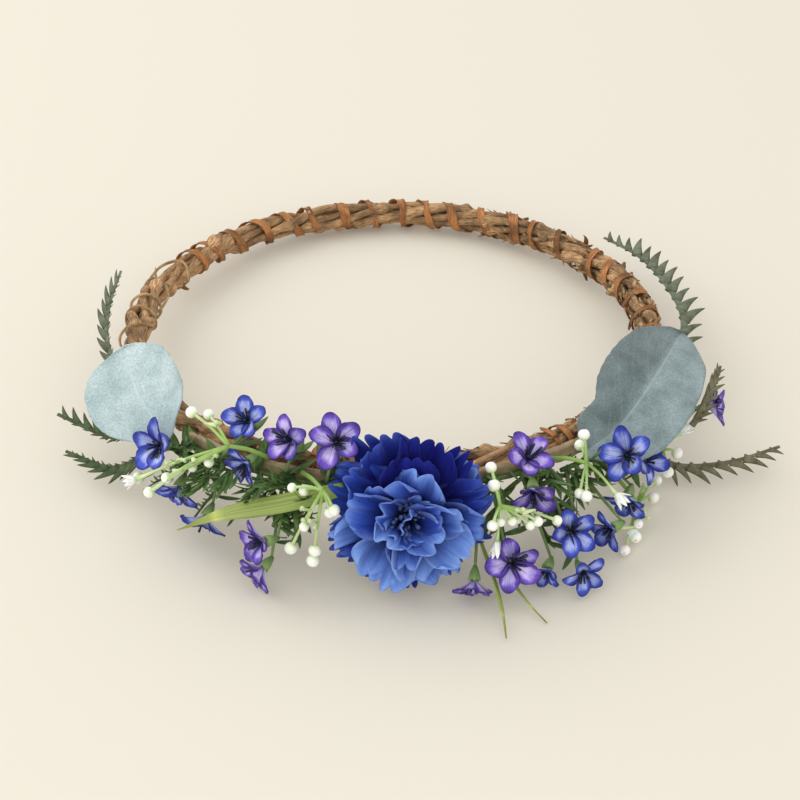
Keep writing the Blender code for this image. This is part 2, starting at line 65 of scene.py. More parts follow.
core_points = points_of("vine_core")
HOOP_CENTRE = Vector(core_points.mean(axis=0))
hoop_axes = np.linalg.svd(core_points - core_points.mean(axis=0))[2]
HOOP_UP = Vector(hoop_axes[2]) * (1 if hoop_axes[2][2] > 0 else -1)
HOOP_RADIUS = float(
    np.linalg.norm((core_points - core_points.mean(axis=0)) @ hoop_axes[:2].T, axis=1).mean(),
)
HOOP_BACK = HOOP_UP.cross(Vector((1, 0, 0))).normalized()
HOOP_FRAME = Matrix((HOOP_BACK.cross(HOOP_UP), HOOP_BACK, HOOP_UP)).transposed()


def on_hoop(along, out, up):
    """The point this far along the hoop from its front, out from its line and up from its plane, in mm."""
    angle = along * MM / HOOP_RADIUS
    reach = HOOP_RADIUS + out * MM
    return HOOP_CENTRE + HOOP_FRAME @ Vector((reach * math.sin(angle), -reach * math.cos(angle), up * MM))


def add(tree, kind, sockets=None, **settings):
    """The outputs of a new node. sockets gives each input a value or the output that feeds it."""
    node = tree.nodes.new(kind)
    for key, value in settings.items():
        setattr(node, key, value)
    for key, value in (sockets or {}).items():
        if isinstance(value, bpy.types.NodeSocket):
            tree.links.new(value, node.inputs[key])
        else:
            node.inputs[key].default_value = value
    return node.outputs


def calc(operation, *values):
    """The result of one Math node, in the tree of the outputs that it takes."""
    tree = next(value.id_data for value in values if isinstance(value, bpy.types.NodeSocket))
    return add(tree, "ShaderNodeMath", dict(enumerate(values)), operation=operation)[0]


def joined(tree, *values):
    """One vector of two or three values."""
    return add(tree, "ShaderNodeCombineXYZ", dict(enumerate(values)))[0]


def kept_on(tree, geometry, kind, label, value):
    """Geometry that keeps a value of each point, and that value."""
    node = tree.nodes.new("GeometryNodeCaptureAttribute")
    tree.links.new(geometry, node.inputs[0])
    node.capture_items.new(kind, label)
    tree.links.new(value, node.inputs[1])
    return node.outputs


def shaping_tree(name, sizes):
    """A Geometry Nodes tree with an input for each size, and its inputs. A word gives an input's kind."""
    tree = bpy.data.node_groups.new(name, "GeometryNodeTree")
    tree.interface.new_socket("Geometry", in_out="OUTPUT", socket_type="NodeSocketGeometry")
    for label, value in sizes.items():
        kind = value if isinstance(value, str) else {int: "Int", float: "Float"}[type(value)]
        socket = tree.interface.new_socket(label, in_out="INPUT", socket_type="NodeSocket" + kind)
        if kind in ("Int", "Float"):
            socket.default_value = value
    return tree, add(tree, "NodeGroupInput")


def end_tree(tree, geometry, material):
    """Ends a tree: instances made real, one material set."""
    real = add(tree, "GeometryNodeRealizeInstances", {"Geometry": geometry})[0]
    done = add(tree, "GeometryNodeSetMaterial", {"Geometry": real, "Material": material})[0]
    add(tree, "NodeGroupOutput", {"Geometry": done})


def placed(name, data):
    """A new object in the scene."""
    piece = bpy.data.objects.new(name, data)
    bpy.context.scene.collection.objects.link(piece)
    return piece


def made_real(piece):
    """Turns what an object's modifiers make into its own plain mesh."""
    graph = bpy.context.evaluated_depsgraph_get()
    mesh = bpy.data.meshes.new_from_object(piece.evaluated_get(graph), depsgraph=graph)
    piece.modifiers.clear()
    piece.data = mesh
    return mesh


def grown(name, tree, sizes, start=None):
    """A plain mesh made by a tree with these sizes, in the hoop's own frame unless it starts from a mesh."""
    seed = placed(name, start or bpy.data.meshes.new(name))
    maker = seed.modifiers.new("maker", "NODES")
    maker.node_group = tree
    for item in tree.interface.items_tree:
        if item.in_out == "INPUT" and item.name in sizes:
            maker[item.identifier] = sizes[item.name]
    mesh = made_real(seed)
    mesh.name = name
    if start is None:
        mesh.transform(Matrix.Translation(HOOP_CENTRE) @ HOOP_FRAME.to_4x4())
    return seed


def round_bundle(tree, hoop_radius, angle, radius, turn):
    """A point at an angle of the hoop, at a radius from its line and turned about it, and the way out."""
    out, up = calc("COSINE", turn), calc("SINE", turn)
    reach = calc("MULTIPLY_ADD", radius, out, hoop_radius)
    east, south = calc("SINE", angle), calc("MULTIPLY", calc("COSINE", angle), -1.0)
    point = add(
        tree, "ShaderNodeCombineXYZ",
        {
            0: calc("MULTIPLY", reach, east), 1: calc("MULTIPLY", reach, south),
            2: calc("MULTIPLY", radius, up),
        },
    )
    away = add(
        tree, "ShaderNodeCombineXYZ",
        {0: calc("MULTIPLY", out, east), 1: calc("MULTIPLY", out, south), 2: up},
    )
    return point[0], away[0]


def roughly(tree, scale, seed, detail=2.0, place=None):
    """Noise from about -1 to 1 that follows the place of each point."""
    sockets = {"W": seed, "Scale": scale, "Detail": detail}
    if place is not None:
        sockets["Vector"] = place
    made = add(tree, "ShaderNodeTexNoise", sockets, noise_dimensions="4D")
    return calc("MULTIPLY_ADD", made["Fac"], 4.0, -2.0)


def end_with_bark(tree, size, tube, about, length, stretch, fineness, detail, depth):
    """Ends the tree of a grown piece: stores its grain, raises ridges along it and gives it its bark."""
    parts = add(tree, "ShaderNodeSeparateXYZ", {0: about})
    grain = joined(tree, parts[0], parts[1], length)
    stored = add(
        tree, "GeometryNodeStoreNamedAttribute", {"Geometry": tube, "Name": "grain", "Value": grain},
        data_type="FLOAT_VECTOR", domain="POINT",
    )[0]
    along = add(tree, "ShaderNodeVectorMath", {0: grain, 1: stretch}, operation="MULTIPLY")[0]
    lift = calc("MULTIPLY", roughly(tree, fineness, size["Seed"], detail, along), depth)
    normal = add(tree, "GeometryNodeInputNormal")[0]
    offset = add(tree, "ShaderNodeVectorMath", {0: normal, "Scale": lift}, operation="SCALE")[0]
    rough = add(tree, "GeometryNodeSetPosition", {"Geometry": stored, "Offset": offset})[0]
    end_tree(tree, add(tree, "GeometryNodeSetShadeSmooth", {"Geometry": rough})[0], size["Bark"])


def vine_tree():
    tree, size = shaping_tree(
        "twisted_vine",
        {
            "Hoop Radius": 0.1, "Twist Radius": 0.003, "Vine Radius": 0.0015, "Turns": 7.0, "Phase": 0.0,
            "Steps": 400, "Sides": 10, "Wander": 0.2, "Swelling": 0.2, "Knots": 0.5, "Seed": 0.0,
            "Bark": "Material",
        },
    )
    ring = add(
        tree, "GeometryNodeCurvePrimitiveCircle",
        {"Resolution": size["Steps"], "Radius": size["Hoop Radius"]},
    )
    step = add(tree, "GeometryNodeInputIndex")[0]
    share = calc("DIVIDE", step, size["Steps"])
    angle = calc("MULTIPLY", share, math.tau)
    drift = roughly(tree, 28.0, size["Seed"])
    turn = calc("MULTIPLY_ADD", angle, size["Turns"], size["Phase"])
    turn = calc("MULTIPLY_ADD", drift, calc("MULTIPLY", size["Wander"], 1.4), turn)
    slack = roughly(tree, 40.0, calc("ADD", size["Seed"], 7.0))
    radius = calc(
        "MULTIPLY_ADD", calc("MULTIPLY", slack, size["Wander"]), size["Twist Radius"],
        size["Twist Radius"],
    )
    point, _ = round_bundle(tree, size["Hoop Radius"], angle, radius, turn)
    line = add(tree, "GeometryNodeSetPosition", {"Geometry": ring["Curve"], "Position": point})[0]
    swell = calc("MULTIPLY_ADD", roughly(tree, 55.0, calc("ADD", size["Seed"], 3.0)), size["Swelling"], 1.0)
    knot = calc(
        "POWER",
        calc("ABSOLUTE", calc("SINE", calc("MULTIPLY_ADD", angle, 11.5, calc("ADD", size["Seed"], drift)))),
        26.0,
    )
    swell = calc("MULTIPLY_ADD", knot, size["Knots"], swell)
    thick = calc("MULTIPLY", size["Vine Radius"], swell)
    line = kept_on(tree, line, "FLOAT", "run", share)
    rind = add(tree, "GeometryNodeCurvePrimitiveCircle", {"Resolution": size["Sides"], "Radius": 1.0})
    about = kept_on(tree, rind[0], "VECTOR", "about", add(tree, "GeometryNodeInputPosition")[0])
    sized = add(tree, "GeometryNodeSetCurveRadius", {"Curve": line[0], "Radius": thick})[0]
    tube = add(tree, "GeometryNodeCurveToMesh", {"Curve": sized, "Profile Curve": about[0], "Scale": thick})
    length = calc(
        "MULTIPLY", line[1],
        calc("DIVIDE", calc("MULTIPLY", size["Hoop Radius"], math.tau), size["Vine Radius"]),
    )
    end_with_bark(
        tree, size, tube[0], about[1], length, (1.0, 1.0, 0.16), 1.1, 3.0,
        calc("MULTIPLY", size["Vine Radius"], 0.16),
    )
    return tree


def effect(name, inputs, outputs):
    """A shader node group with named inputs and outputs. It returns the group's tree and its inputs."""
    tree = bpy.data.node_groups.new(name, "ShaderNodeTree")
    kinds = {float: "NodeSocketFloat", tuple: "NodeSocketColor", Vector: "NodeSocketVector"}
    for label, value in inputs.items():
        socket = tree.interface.new_socket(label, in_out="INPUT", socket_type=kinds[type(value)])
        socket.default_value = value
    for label, kind in outputs.items():
        tree.interface.new_socket(label, in_out="OUTPUT", socket_type="NodeSocket" + kind)
    return tree, add(tree, "NodeGroupInput")


def finish(name, roughness, **uniform):
    """A new material, its tree and its Principled shader, with the values that are the same all over."""
    made = bpy.data.materials.new(name)
    made.use_nodes = True
    shader = made.node_tree.nodes["Principled BSDF"]
    shader.inputs["Roughness"].default_value = roughness
    for label, value in uniform.items():
        shader.inputs[label.replace("_", " ")].default_value = value
    return made, made.node_tree, shader


def feed(output, shader, socket):
    output.id_data.links.new(output, shader.inputs[socket])


def ramp(factor, *stops):
    """A colour ramp through (place, colour) stops."""
    node = factor.id_data.nodes.new("ShaderNodeValToRGB")
    feed(factor, node, 0)
    marks = node.color_ramp.elements
    while len(marks) < len(stops):
        marks.new(0.5)
    for mark, (place, colour) in zip(marks, stops):
        mark.position = place
        mark.color = colour
    return node.outputs[0]


def blend(kind, factor, first, second):
    """One Mix node on colours, of which the first is another node's output."""
    sockets = {0: factor, 6: first, 7: second}
    return add(first.id_data, "ShaderNodeMix", sockets, data_type="RGBA", blend_type=kind)[2]


def bumped(shader, height, strength, depth):
    """Feeds a height into the shader's normal."""
    sockets = {"Height": height, "Strength": strength, "Distance": depth}
    feed(add(height.id_data, "ShaderNodeBump", sockets)[0], shader, "Normal")


def in_group(tree, group, **values):
    """A shader group placed in a material with its own values."""
    return add(tree, "ShaderNodeGroup", values, node_tree=group)


def clouds(tree, scale, detail=3.0):
    """Soft noise through the piece."""
    place = add(tree, "ShaderNodeTexCoord")["Object"]
    return add(tree, "ShaderNodeTexNoise", {"Vector": place, "Scale": scale, "Detail": detail})["Fac"]


# Fibre: cracks and streaks that run along a grown piece, from its own "grain" attribute.
FIBRE, fibre_in = effect("fibre", {"Along": 0.2, "Around": 2.0, "Cracks": 0.5, "Seed": 0.0}, {
    "Streak": "Float", "Height": "Float", "Patch": "Float"})
fibre_grain = add(FIBRE, "ShaderNodeAttribute", attribute_name="grain")["Vector"]
fibre_scale = joined(FIBRE, fibre_in["Around"], fibre_in["Around"], fibre_in["Along"])
fibre_place = add(FIBRE, "ShaderNodeVectorMath", {0: fibre_grain, 1: fibre_scale}, operation="MULTIPLY")[0]
fibre_streak = add(
    FIBRE, "ShaderNodeTexNoise", {"Vector": fibre_place, "W": fibre_in["Seed"], "Detail": 4.0},
    noise_dimensions="4D",
)["Fac"]
fibre_fine = add(
    FIBRE, "ShaderNodeTexNoise",
    {"Vector": fibre_place, "W": fibre_in["Seed"], "Detail": 3.0, "Scale": 4.3}, noise_dimensions="4D",
)["Fac"]
fibre_split = calc(
    "SUBTRACT", 1.0,
    calc("MINIMUM", calc("MULTIPLY", calc("ABSOLUTE", calc("SUBTRACT", fibre_fine, 0.5)), 14.0), 1.0),
)
fibre_object = add(FIBRE, "ShaderNodeTexCoord")["Object"]
fibre_patch = add(
    FIBRE, "ShaderNodeTexNoise",
    {"Vector": fibre_object, "W": fibre_in["Seed"], "Scale": 120.0, "Detail": 2.0}, noise_dimensions="4D",
)["Fac"]
add(
    FIBRE, "NodeGroupOutput",
    {
        "Streak": fibre_streak,
        "Height": calc(
            "SUBTRACT", calc("MULTIPLY_ADD", fibre_fine, 0.4, fibre_streak),
            calc("MULTIPLY", fibre_split, calc("MULTIPLY", fibre_in["Cracks"], 0.5)),
        ),
        "Patch": fibre_patch,
    },
)


def bark_finish(name, dark, mid, pale, seed, around, along, roughness, cracks):
    made, tree, shader = finish(name, roughness, Specular_IOR_Level=0.3)
    fibre = in_group(tree, FIBRE, Along=along, Around=around, Cracks=cracks, Seed=seed)
    streaks = ramp(fibre["Streak"], (0.3, dark), (0.5, mid), (0.72, pale))
    patches = ramp(fibre["Patch"], (0.36, (0.48, 0.44, 0.4, 1)), (0.62, (1.35, 1.25, 1.12, 1)))
    colour = blend("MULTIPLY", 0.9, streaks, patches)
    feed(colour, shader, "Base Color")
    bumped(shader, fibre["Height"], 0.7, 0.35 * MM)
    return made


VINE_BARK = bark_finish("vine_bark", VINE_DARK, VINE_MID, VINE_PALE, 1.0, 1.6, 0.14, 0.78, 0.8)
twisted = vine_tree()
strand_nodes = sorted(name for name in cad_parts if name.startswith("vine_strand"))
for number, node in enumerate(["vine_core", *strand_nodes]):
    twined = node != "vine_core"
    vine = grown(node.replace("strand", "twined"), twisted, {
        "Hoop Radius": HOOP_RADIUS, "Twist Radius": TWIST_RADIUS if twined else CORE_OFFSET,
        "Vine Radius": VINE_RADII[number] * MM, "Turns": VINE_TWISTS,
        "Phase": math.tau * (number - 1) / len(strand_nodes),
        "Steps": VINE_STEPS, "Sides": VINE_SIDES, "Wander": 0.42, "Swelling": 0.36, "Knots": 0.8,
        "Seed": 3.7 * number, "Bark": VINE_BARK,
    })
    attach(vine, "root")
    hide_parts(node)


# ---- Bark strips -----------------------------------------------------------------------------------
# Ribbons of peeled orange-brown bark, wound tightly over the vines to bind them. Each is a torn strip,
# so its width changes, its edges fray and curl up, and its end stands out where it was tucked under.

STRIP_PITCH = 11.5 * MM
STRIP_WIDTH, STRIP_THICKNESS = 3.0 * MM, 0.55 * MM
WRAP_RADIUS = 4.95 * MM
FRONT_WRAPS = ((54.5, 62.0), (-27.0, -19.5))
BARK_DARK = (0.10, 0.038, 0.012, 1)
BARK_MID = (0.36, 0.155, 0.052, 1)
BARK_PALE = (0.62, 0.33, 0.15, 1)


def wrap_tree():
    tree, size = shaping_tree("wound_strip", {
        "Hoop Radius": 0.1, "Wrap Radius": 0.005, "From": 1.0, "To": 2.0, "Turns": 7.0, "Phase": 0.0,
        "Width": 0.003, "Thickness": 0.0004, "Steps": 300, "Slack": 0.1, "Fray": 0.3, "Flick": 0.003,
        "Slant": 0.0, "Seed": 0.0, "Bark": "Material",
    })
    line = add(tree, "GeometryNodeCurvePrimitiveLine")
    line = add(tree, "GeometryNodeResampleCurve", {"Curve": line[0], "Count": size["Steps"]})[0]
    step = add(tree, "GeometryNodeInputIndex")[0]
    share = calc("DIVIDE", step, calc("SUBTRACT", size["Steps"], 1.0))
    place = joined(tree, calc("MULTIPLY", share, size["Turns"]))
    drift = roughly(tree, 0.9, size["Seed"], 2.0, place)
    slack = roughly(tree, 2.4, calc("ADD", size["Seed"], 5.0), 2.0, place)
    span = calc("SUBTRACT", size["To"], size["From"])
    pitch = calc("DIVIDE", span, size["Turns"])
    angle = calc(
        "ADD", calc("MULTIPLY_ADD", share, span, size["From"]),
        calc("MULTIPLY", drift, calc("MULTIPLY", pitch, size["Slant"])),
    )
    turn = calc("MULTIPLY_ADD", share, calc("MULTIPLY", size["Turns"], -math.tau), size["Phase"])
    ends = calc("POWER", calc("ABSOLUTE", calc("MULTIPLY_ADD", share, 2.0, -1.0)), 40.0)
    radius = calc(
        "MULTIPLY_ADD", calc("MAXIMUM", slack, -0.2), calc("MULTIPLY", size["Slack"], size["Wrap Radius"]),
        size["Wrap Radius"],
    )
    radius = calc("MULTIPLY_ADD", ends, size["Flick"], radius)
    point, away = round_bundle(tree, size["Hoop Radius"], angle, radius, turn)
    line = add(tree, "GeometryNodeSetPosition", {"Geometry": line, "Position": point})[0]
    line = add(tree, "GeometryNodeSetCurveNormal", {"Curve": line, "Normal": away}, mode="FREE")[0]
    line = kept_on(tree, line, "FLOAT", "run", share)
    tear = roughly(tree, 3.1, calc("ADD", size["Seed"], 2.0), 4.0, place)
    wide = calc("MULTIPLY_ADD", tear, size["Fray"], 1.0)
    wide = calc("MULTIPLY", wide, calc("MULTIPLY_ADD", ends, -0.75, 1.0))
    flat = add(tree, "GeometryNodeCurvePrimitiveCircle", {"Resolution": 14, "Radius": 1.0})
    about = kept_on(tree, flat[0], "VECTOR", "about", add(tree, "GeometryNodeInputPosition")[0])
    parts = add(tree, "ShaderNodeSeparateXYZ", {0: add(tree, "GeometryNodeInputPosition")[0]})
    curl = calc(
        "MULTIPLY", calc("POWER", calc("ABSOLUTE", parts[1]), 3.0),
        calc("MULTIPLY", size["Thickness"], 0.9),
    )
    section = joined(
        tree, calc("MULTIPLY_ADD", parts[0], calc("MULTIPLY", size["Thickness"], 0.5), curl),
        calc("MULTIPLY", parts[1], calc("MULTIPLY", size["Width"], 0.5)),
    )
    profile = add(tree, "GeometryNodeSetPosition", {"Geometry": about[0], "Position": section})[0]
    ribbon = add(
        tree, "GeometryNodeCurveToMesh",
        {"Curve": line[0], "Profile Curve": profile, "Scale": wide, "Fill Caps": True},
    )
    length = calc("MULTIPLY", line[1], calc("MULTIPLY", size["Turns"], 24.0))
    end_with_bark(
        tree, size, ribbon[0], about[1], length, (1.5, 3.0, 0.35), 1.0, 4.0,
        calc("MULTIPLY", size["Thickness"], 0.22),
    )
    return tree


def hoop_span(node):
    """The angles of the hoop between which a node lies, from the front, anticlockwise from above."""
    local = (points_of(node) - np.array(HOOP_CENTRE)) @ np.array(HOOP_FRAME)
    angles = np.sort(np.arctan2(local[:, 0], -local[:, 1]) % math.tau)
    return float(angles[0]), float(angles[-1])


PEELED_BARK = bark_finish("peeled_bark", BARK_DARK, BARK_MID, BARK_PALE, 5.0, 2.4, 0.10, 0.62, 0.5)
wound = wrap_tree()
for number, node in enumerate(("bark_strip_right", "bark_strip_back", "bark_strip_left")):
    first, last = hoop_span(node)
    turns = (last - first) * HOOP_RADIUS / STRIP_PITCH
    strip = grown(
        node.replace("bark_strip", "bark_wrap"), wound,
        {
            "Hoop Radius": HOOP_RADIUS, "Wrap Radius": WRAP_RADIUS, "From": first, "To": last,
            "Turns": turns, "Phase": 1.3 * number, "Width": STRIP_WIDTH, "Thickness": STRIP_THICKNESS,
            "Steps": round(turns * 30), "Slack": 0.05, "Fray": 0.65, "Flick": 2.5 * MM, "Slant": 0.42,
            "Seed": 2.3 * number, "Bark": PEELED_BARK,
        },
    )
    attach(strip, "root")
    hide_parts(node)
for number, (first, last) in enumerate(FRONT_WRAPS):
    strip = grown(f"bark_wrap_front_{number + 1}", wound, {
        "Hoop Radius": HOOP_RADIUS, "Wrap Radius": WRAP_RADIUS, "From": first * MM / HOOP_RADIUS,
        "To": last * MM / HOOP_RADIUS, "Turns": 1.4, "Phase": 2.2, "Width": 2.6 * MM,
        "Thickness": STRIP_THICKNESS, "Steps": 60, "Slack": 0.04, "Fray": 0.5, "Flick": 1.2 * MM,
        "Slant": 0.2, "Seed": 31.0 + number, "Bark": PEELED_BARK,
    })
    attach(strip, "root")


# ---- Tendril ---------------------------------------------------------------------------------------
# A dried climbing tendril, thin and straw-coloured, that ties down the left of the hoop where the bark
# strips stop. It is one thread wound loosely, so some loops lie on the vines and some stand clear.

THREAD_STRAW = bark_finish(
    "straw_thread", (0.2, 0.12, 0.05, 1), (0.52, 0.38, 0.21, 1), (0.78, 0.64, 0.42, 1), 9.0, 1.2, 0.2,
    0.55, 0.2,
)
TENDRIL_PITCH = 9.0 * MM
first, last = hoop_span("tendril_tie")
turns = (last - first) * HOOP_RADIUS / TENDRIL_PITCH
tendril = grown(
    "tendril_thread", wound,
    {
        "Hoop Radius": HOOP_RADIUS, "Wrap Radius": 5.1 * MM, "From": first, "To": last, "Turns": turns,
        "Phase": 0.6, "Width": 0.85 * MM, "Thickness": 0.7 * MM, "Steps": round(turns * 36), "Slack": 0.3,
        "Fray": 0.12, "Flick": 2.0 * MM, "Slant": 1.5, "Seed": 21.0, "Bark": THREAD_STRAW,
    },
)
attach(tendril, "root")
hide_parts("tendril_tie")


# ---- Broad leaves ----------------------------------------------------------------------------------
# Two artificial eucalyptus leaves cut from polyester felt and pressed over a wire midrib. The felt is
# flocked, so it is soft and speckled, and each leaf starts among the flowers.

FELT_THICKNESS = 0.6 * MM
LEAF_ROWS, LEAF_COLUMNS = 54, 34
LEAF_ROUND_END = 0.16


def smooth_path(points, per_span=12):
    """Points on a smooth curve through the given ones."""
    ends = [points[0] * 2 - points[1], *points, points[-1] * 2 - points[-2]]
    path = []
    for a, b, c, d in zip(ends, ends[1:], ends[2:], ends[3:]):
        for step in range(per_span):
            t = step / per_span
            bend = (2 * a - 5 * b + 4 * c - d) * t**2 + (3 * b - a - 3 * c + d) * t**3
            path.append(0.5 * (2 * b + (c - a) * t + bend))
    return [*path, points[-1]]


def along_path(path, share):
    """The point at this share of a path's length in steps, and the way the path runs there."""
    place = min(max(share, 0.0), 1.0) * (len(path) - 1)
    step = min(int(place), len(path) - 2)
    return path[step].lerp(path[step + 1], place - step), (path[step + 1] - path[step]).normalized()


def meshed(name, work):
    """A new mesh from a bmesh, which is then freed."""
    mesh = bpy.data.meshes.new(name)
    work.to_mesh(mesh)
    work.free()
    return mesh


def sheet_mesh(name, grids, thickness, tints=None):
    """A piece with a wall, from grids of points. Each grid is rows; its UV runs across and along it."""
    work = bmesh.new()
    uv = work.loops.layers.uv.new("UVMap")
    tint_layer = work.verts.layers.float.new("tint")
    for number, grid in enumerate(grids):
        verts = [[work.verts.new(point) for point in row] for row in grid]
        last_row, last_column = len(grid) - 1, len(grid[0]) - 1
        for row in verts:
            for vert in row:
                vert[tint_layer] = tints[number] if tints else 0.5
        for row in range(last_row):
            for column in range(last_column):
                corners = ((row, column), (row, column + 1), (row + 1, column + 1), (row + 1, column))
                face = work.faces.new([verts[r][c] for r, c in corners])
                face.smooth = True
                for loop, (r, c) in zip(face.loops, corners):
                    loop[uv].uv = (c / last_column, r / last_row)
    bmesh.ops.remove_doubles(work, verts=work.verts, dist=0.01 * MM)
    piece = placed(name, meshed(name, work))
    wall = piece.modifiers.new("wall", "SOLIDIFY")
    wall.thickness = thickness
    wall.offset = 0
    made_real(piece)
    return piece


def hoop_way(direction):
    """A direction of the hoop's own frame, in the row frame."""
    return (HOOP_FRAME @ Vector(direction)).normalized()


# Felt: two sizes of speckle from the flock, and the soft ridge of the midrib and side veins.
FELT, felt_in = effect("felt", {"Speckle": 1500.0, "Veins": 7.0, "Seed": 0.0}, {
    "Speckle": "Float", "Cloud": "Float", "Rib": "Float", "Height": "Float"})
felt_place = add(FELT, "ShaderNodeTexCoord")["Object"]
felt_uv = add(FELT, "ShaderNodeUVMap", uv_map="UVMap")[0]
felt_u, felt_v, _ = add(FELT, "ShaderNodeSeparateXYZ", {0: felt_uv})
felt_fine = add(
    FELT, "ShaderNodeTexNoise",
    {"Vector": felt_place, "Scale": felt_in["Speckle"], "Detail": 3.0, "Roughness": 0.7},
)["Fac"]
felt_cloud = add(
    FELT, "ShaderNodeTexNoise",
    {"Vector": felt_place, "W": felt_in["Seed"], "Scale": 130.0, "Detail": 3.0}, noise_dimensions="4D",
)["Fac"]
felt_off = calc("ABSOLUTE", calc("SUBTRACT", felt_u, 0.5))
felt_wobble = calc("MULTIPLY_ADD", felt_cloud, 0.01, felt_off)
felt_mid = calc("MAXIMUM", calc("MULTIPLY_ADD", felt_wobble, -55.0, 1.25), 0.0)
felt_mid = calc("MINIMUM", felt_mid, 1.0)
felt_side = calc(
    "FRACT",
    calc("MULTIPLY", calc("SUBTRACT", felt_v, calc("MULTIPLY", felt_off, 0.75)), felt_in["Veins"]),
)
felt_side = calc(
    "MAXIMUM", calc("MULTIPLY_ADD", calc("ABSOLUTE", calc("SUBTRACT", felt_side, 0.5)), -12.0, 1.0), 0.0,
)
felt_side = calc("MULTIPLY", felt_side, calc("MULTIPLY_ADD", felt_off, -0.4, 0.26))
felt_rib = calc("MAXIMUM", felt_mid, felt_side)
add(
    FELT, "NodeGroupOutput",
    {
        "Speckle": felt_fine, "Cloud": felt_cloud, "Rib": felt_rib,
        "Height": calc("MULTIPLY_ADD", felt_rib, 0.8, calc("MULTIPLY", felt_fine, 0.9)),
    },
)


def felt_finish(name, shade, light, rib, left, seed):
    """Flocked felt. left is how much the half to the left of the midrib is darkened, as painted shade of that
    half turned away from the light.
    """
    made, tree, shader = finish(name, 0.95, Specular_IOR_Level=0.15, Sheen_Weight=0.35, Sheen_Roughness=0.5)
    felt = in_group(tree, FELT, Seed=seed)
    cloth = ramp(felt["Cloud"], (0.3, shade), (0.7, light))
    speckled = blend(
        "MULTIPLY", 0.85, cloth,
        ramp(
            felt["Speckle"], (0.36, (0.76, 0.78, 0.78, 1)), (0.5, (0.98, 0.98, 0.98, 1)),
            (0.66, (1.2, 1.2, 1.21, 1)),
        ),
    )
    uv = add(tree, "ShaderNodeUVMap", uv_map="UVMap")[0]
    side = add(tree, "ShaderNodeSeparateXYZ", {0: uv})[0]
    # Painted shade: the half of the leaf to the left of its midrib is darkened, as if turned away from the
    # light.
    half = ramp(side, (0.42, (left, left * 1.02, left, 1)), (0.52, (1, 1, 1, 1)))
    toned = blend("MULTIPLY", 1.0, speckled, half)
    ribbed = blend("MIX", calc("MULTIPLY", felt["Rib"], 0.42), toned, rib)
    feed(ribbed, shader, "Base Color")
    bumped(shader, felt["Height"], 0.5, 0.25 * MM)
    return made


BROAD_LEAVES = {
    "broad_leaf_left": {
        "route": [(-74, 13, 0), (-81, 13, 5), (-91, 12.5, 11.5), (-104, 9, 19)], "half": 17.5,
        "normal": (-0.4, -0.55, 0.73), "fold": 0.30, "wave": 0.5,
        "left": (0.10, 0.32, 0.58, 0.80, 0.96, 1.04, 1.02, 0.86, 0.50),
        "right": (0.10, 0.40, 0.74, 0.94, 1.0, 1.0, 0.94, 0.78, 0.45),
        "felt": ((0.34, 0.455, 0.475, 1), (0.535, 0.645, 0.68, 1), (0.62, 0.71, 0.735, 1), 0.91),
    },
    "broad_leaf_right": {
        "route": [(60, 12.2, 1), (74, 12.8, 4.6), (92, 12.2, 12), (119, 12.5, 15.5)], "half": 16.5,
        "normal": (0.2, -0.55, 0.81), "fold": 0.12, "wave": 0.7,
        "left": (0.16, 0.66, 0.72, 0.74, 0.98, 1.06, 1.02, 0.86, 0.50),
        "right": (0.16, 0.50, 0.78, 0.98, 1.04, 1.04, 0.98, 0.84, 0.50),
        # The right leaf's felt is its own grey-blue tone, made far darker than the left leaf's as painted
        # shade of a leaf turned from the light.
        "felt": ((0.150, 0.210, 0.212, 1), (0.285, 0.358, 0.385, 1), (0.44, 0.53, 0.53, 1), 0.66),
    },
}
for number, (node, leaf) in enumerate(BROAD_LEAVES.items()):
    path = smooth_path([on_hoop(*point) for point in leaf["route"]])
    normal = hoop_way(leaf["normal"])
    shares = np.linspace(0, 1, len(leaf["left"]))
    grid = []
    for row in range(LEAF_ROWS + 1):
        v = row / LEAF_ROWS
        middle, ahead = along_path(path, v)
        side = ahead.cross(normal).normalized()
        face = side.cross(ahead).normalized()
        left_over = max(0.0, min(1.0, (1 - v) / LEAF_ROUND_END))
        end = math.sqrt(left_over * (2 - left_over))
        line = []
        for column in range(LEAF_COLUMNS + 1):
            u = 2 * column / LEAF_COLUMNS - 1
            share = float(np.interp(v, shares, leaf["left" if u < 0 else "right"]))
            reach = leaf["half"] * MM * share * (end if v > 1 - LEAF_ROUND_END else 1.0) * u
            lift = abs(u) ** 2 * 0.12 * leaf["half"] * MM * share
            folded = max(0.0, u - 0.45) ** 2 * 2.2 * math.sin(math.pi * min(1, v * 1.2))
            lift += leaf["fold"] * leaf["half"] * MM * folded
            lift += (
                leaf["wave"] * MM * abs(u) ** 1.5
                * noise.noise(Vector((u * 0.9, v * 5.5, 3.1 * number)))
            )
            lift -= 0.35 * MM * math.exp(-((u / 0.05) ** 2)) * (1 - v)
            lift += 0.10 * MM * noise.noise(middle * 900 + side * reach * 900)
            edge = 0.35 * MM * noise.noise(Vector((v * 24, 5 * u, number))) * abs(u) ** 8
            line.append(middle + side * (reach + edge) + face * lift)
        grid.append(line)
    felt_leaf = sheet_mesh(node.replace("broad", "felt"), [grid], FELT_THICKNESS)
    felt_leaf.data.materials.append(felt_finish(f"flocked_felt_{number + 1}", *leaf["felt"], 4.0 * number))
    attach(felt_leaf, "root")
    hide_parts(node)


# ---- Toothed leaves --------------------------------------------------------------------------------
# Artificial grevillea leaves, moulded in soft plastic and dusted matt. A flat rib carries a row of long
# teeth that lean to its tip, most of them on its outer side, and the tips of the teeth are brown.

TOOTH_STEPS = 7


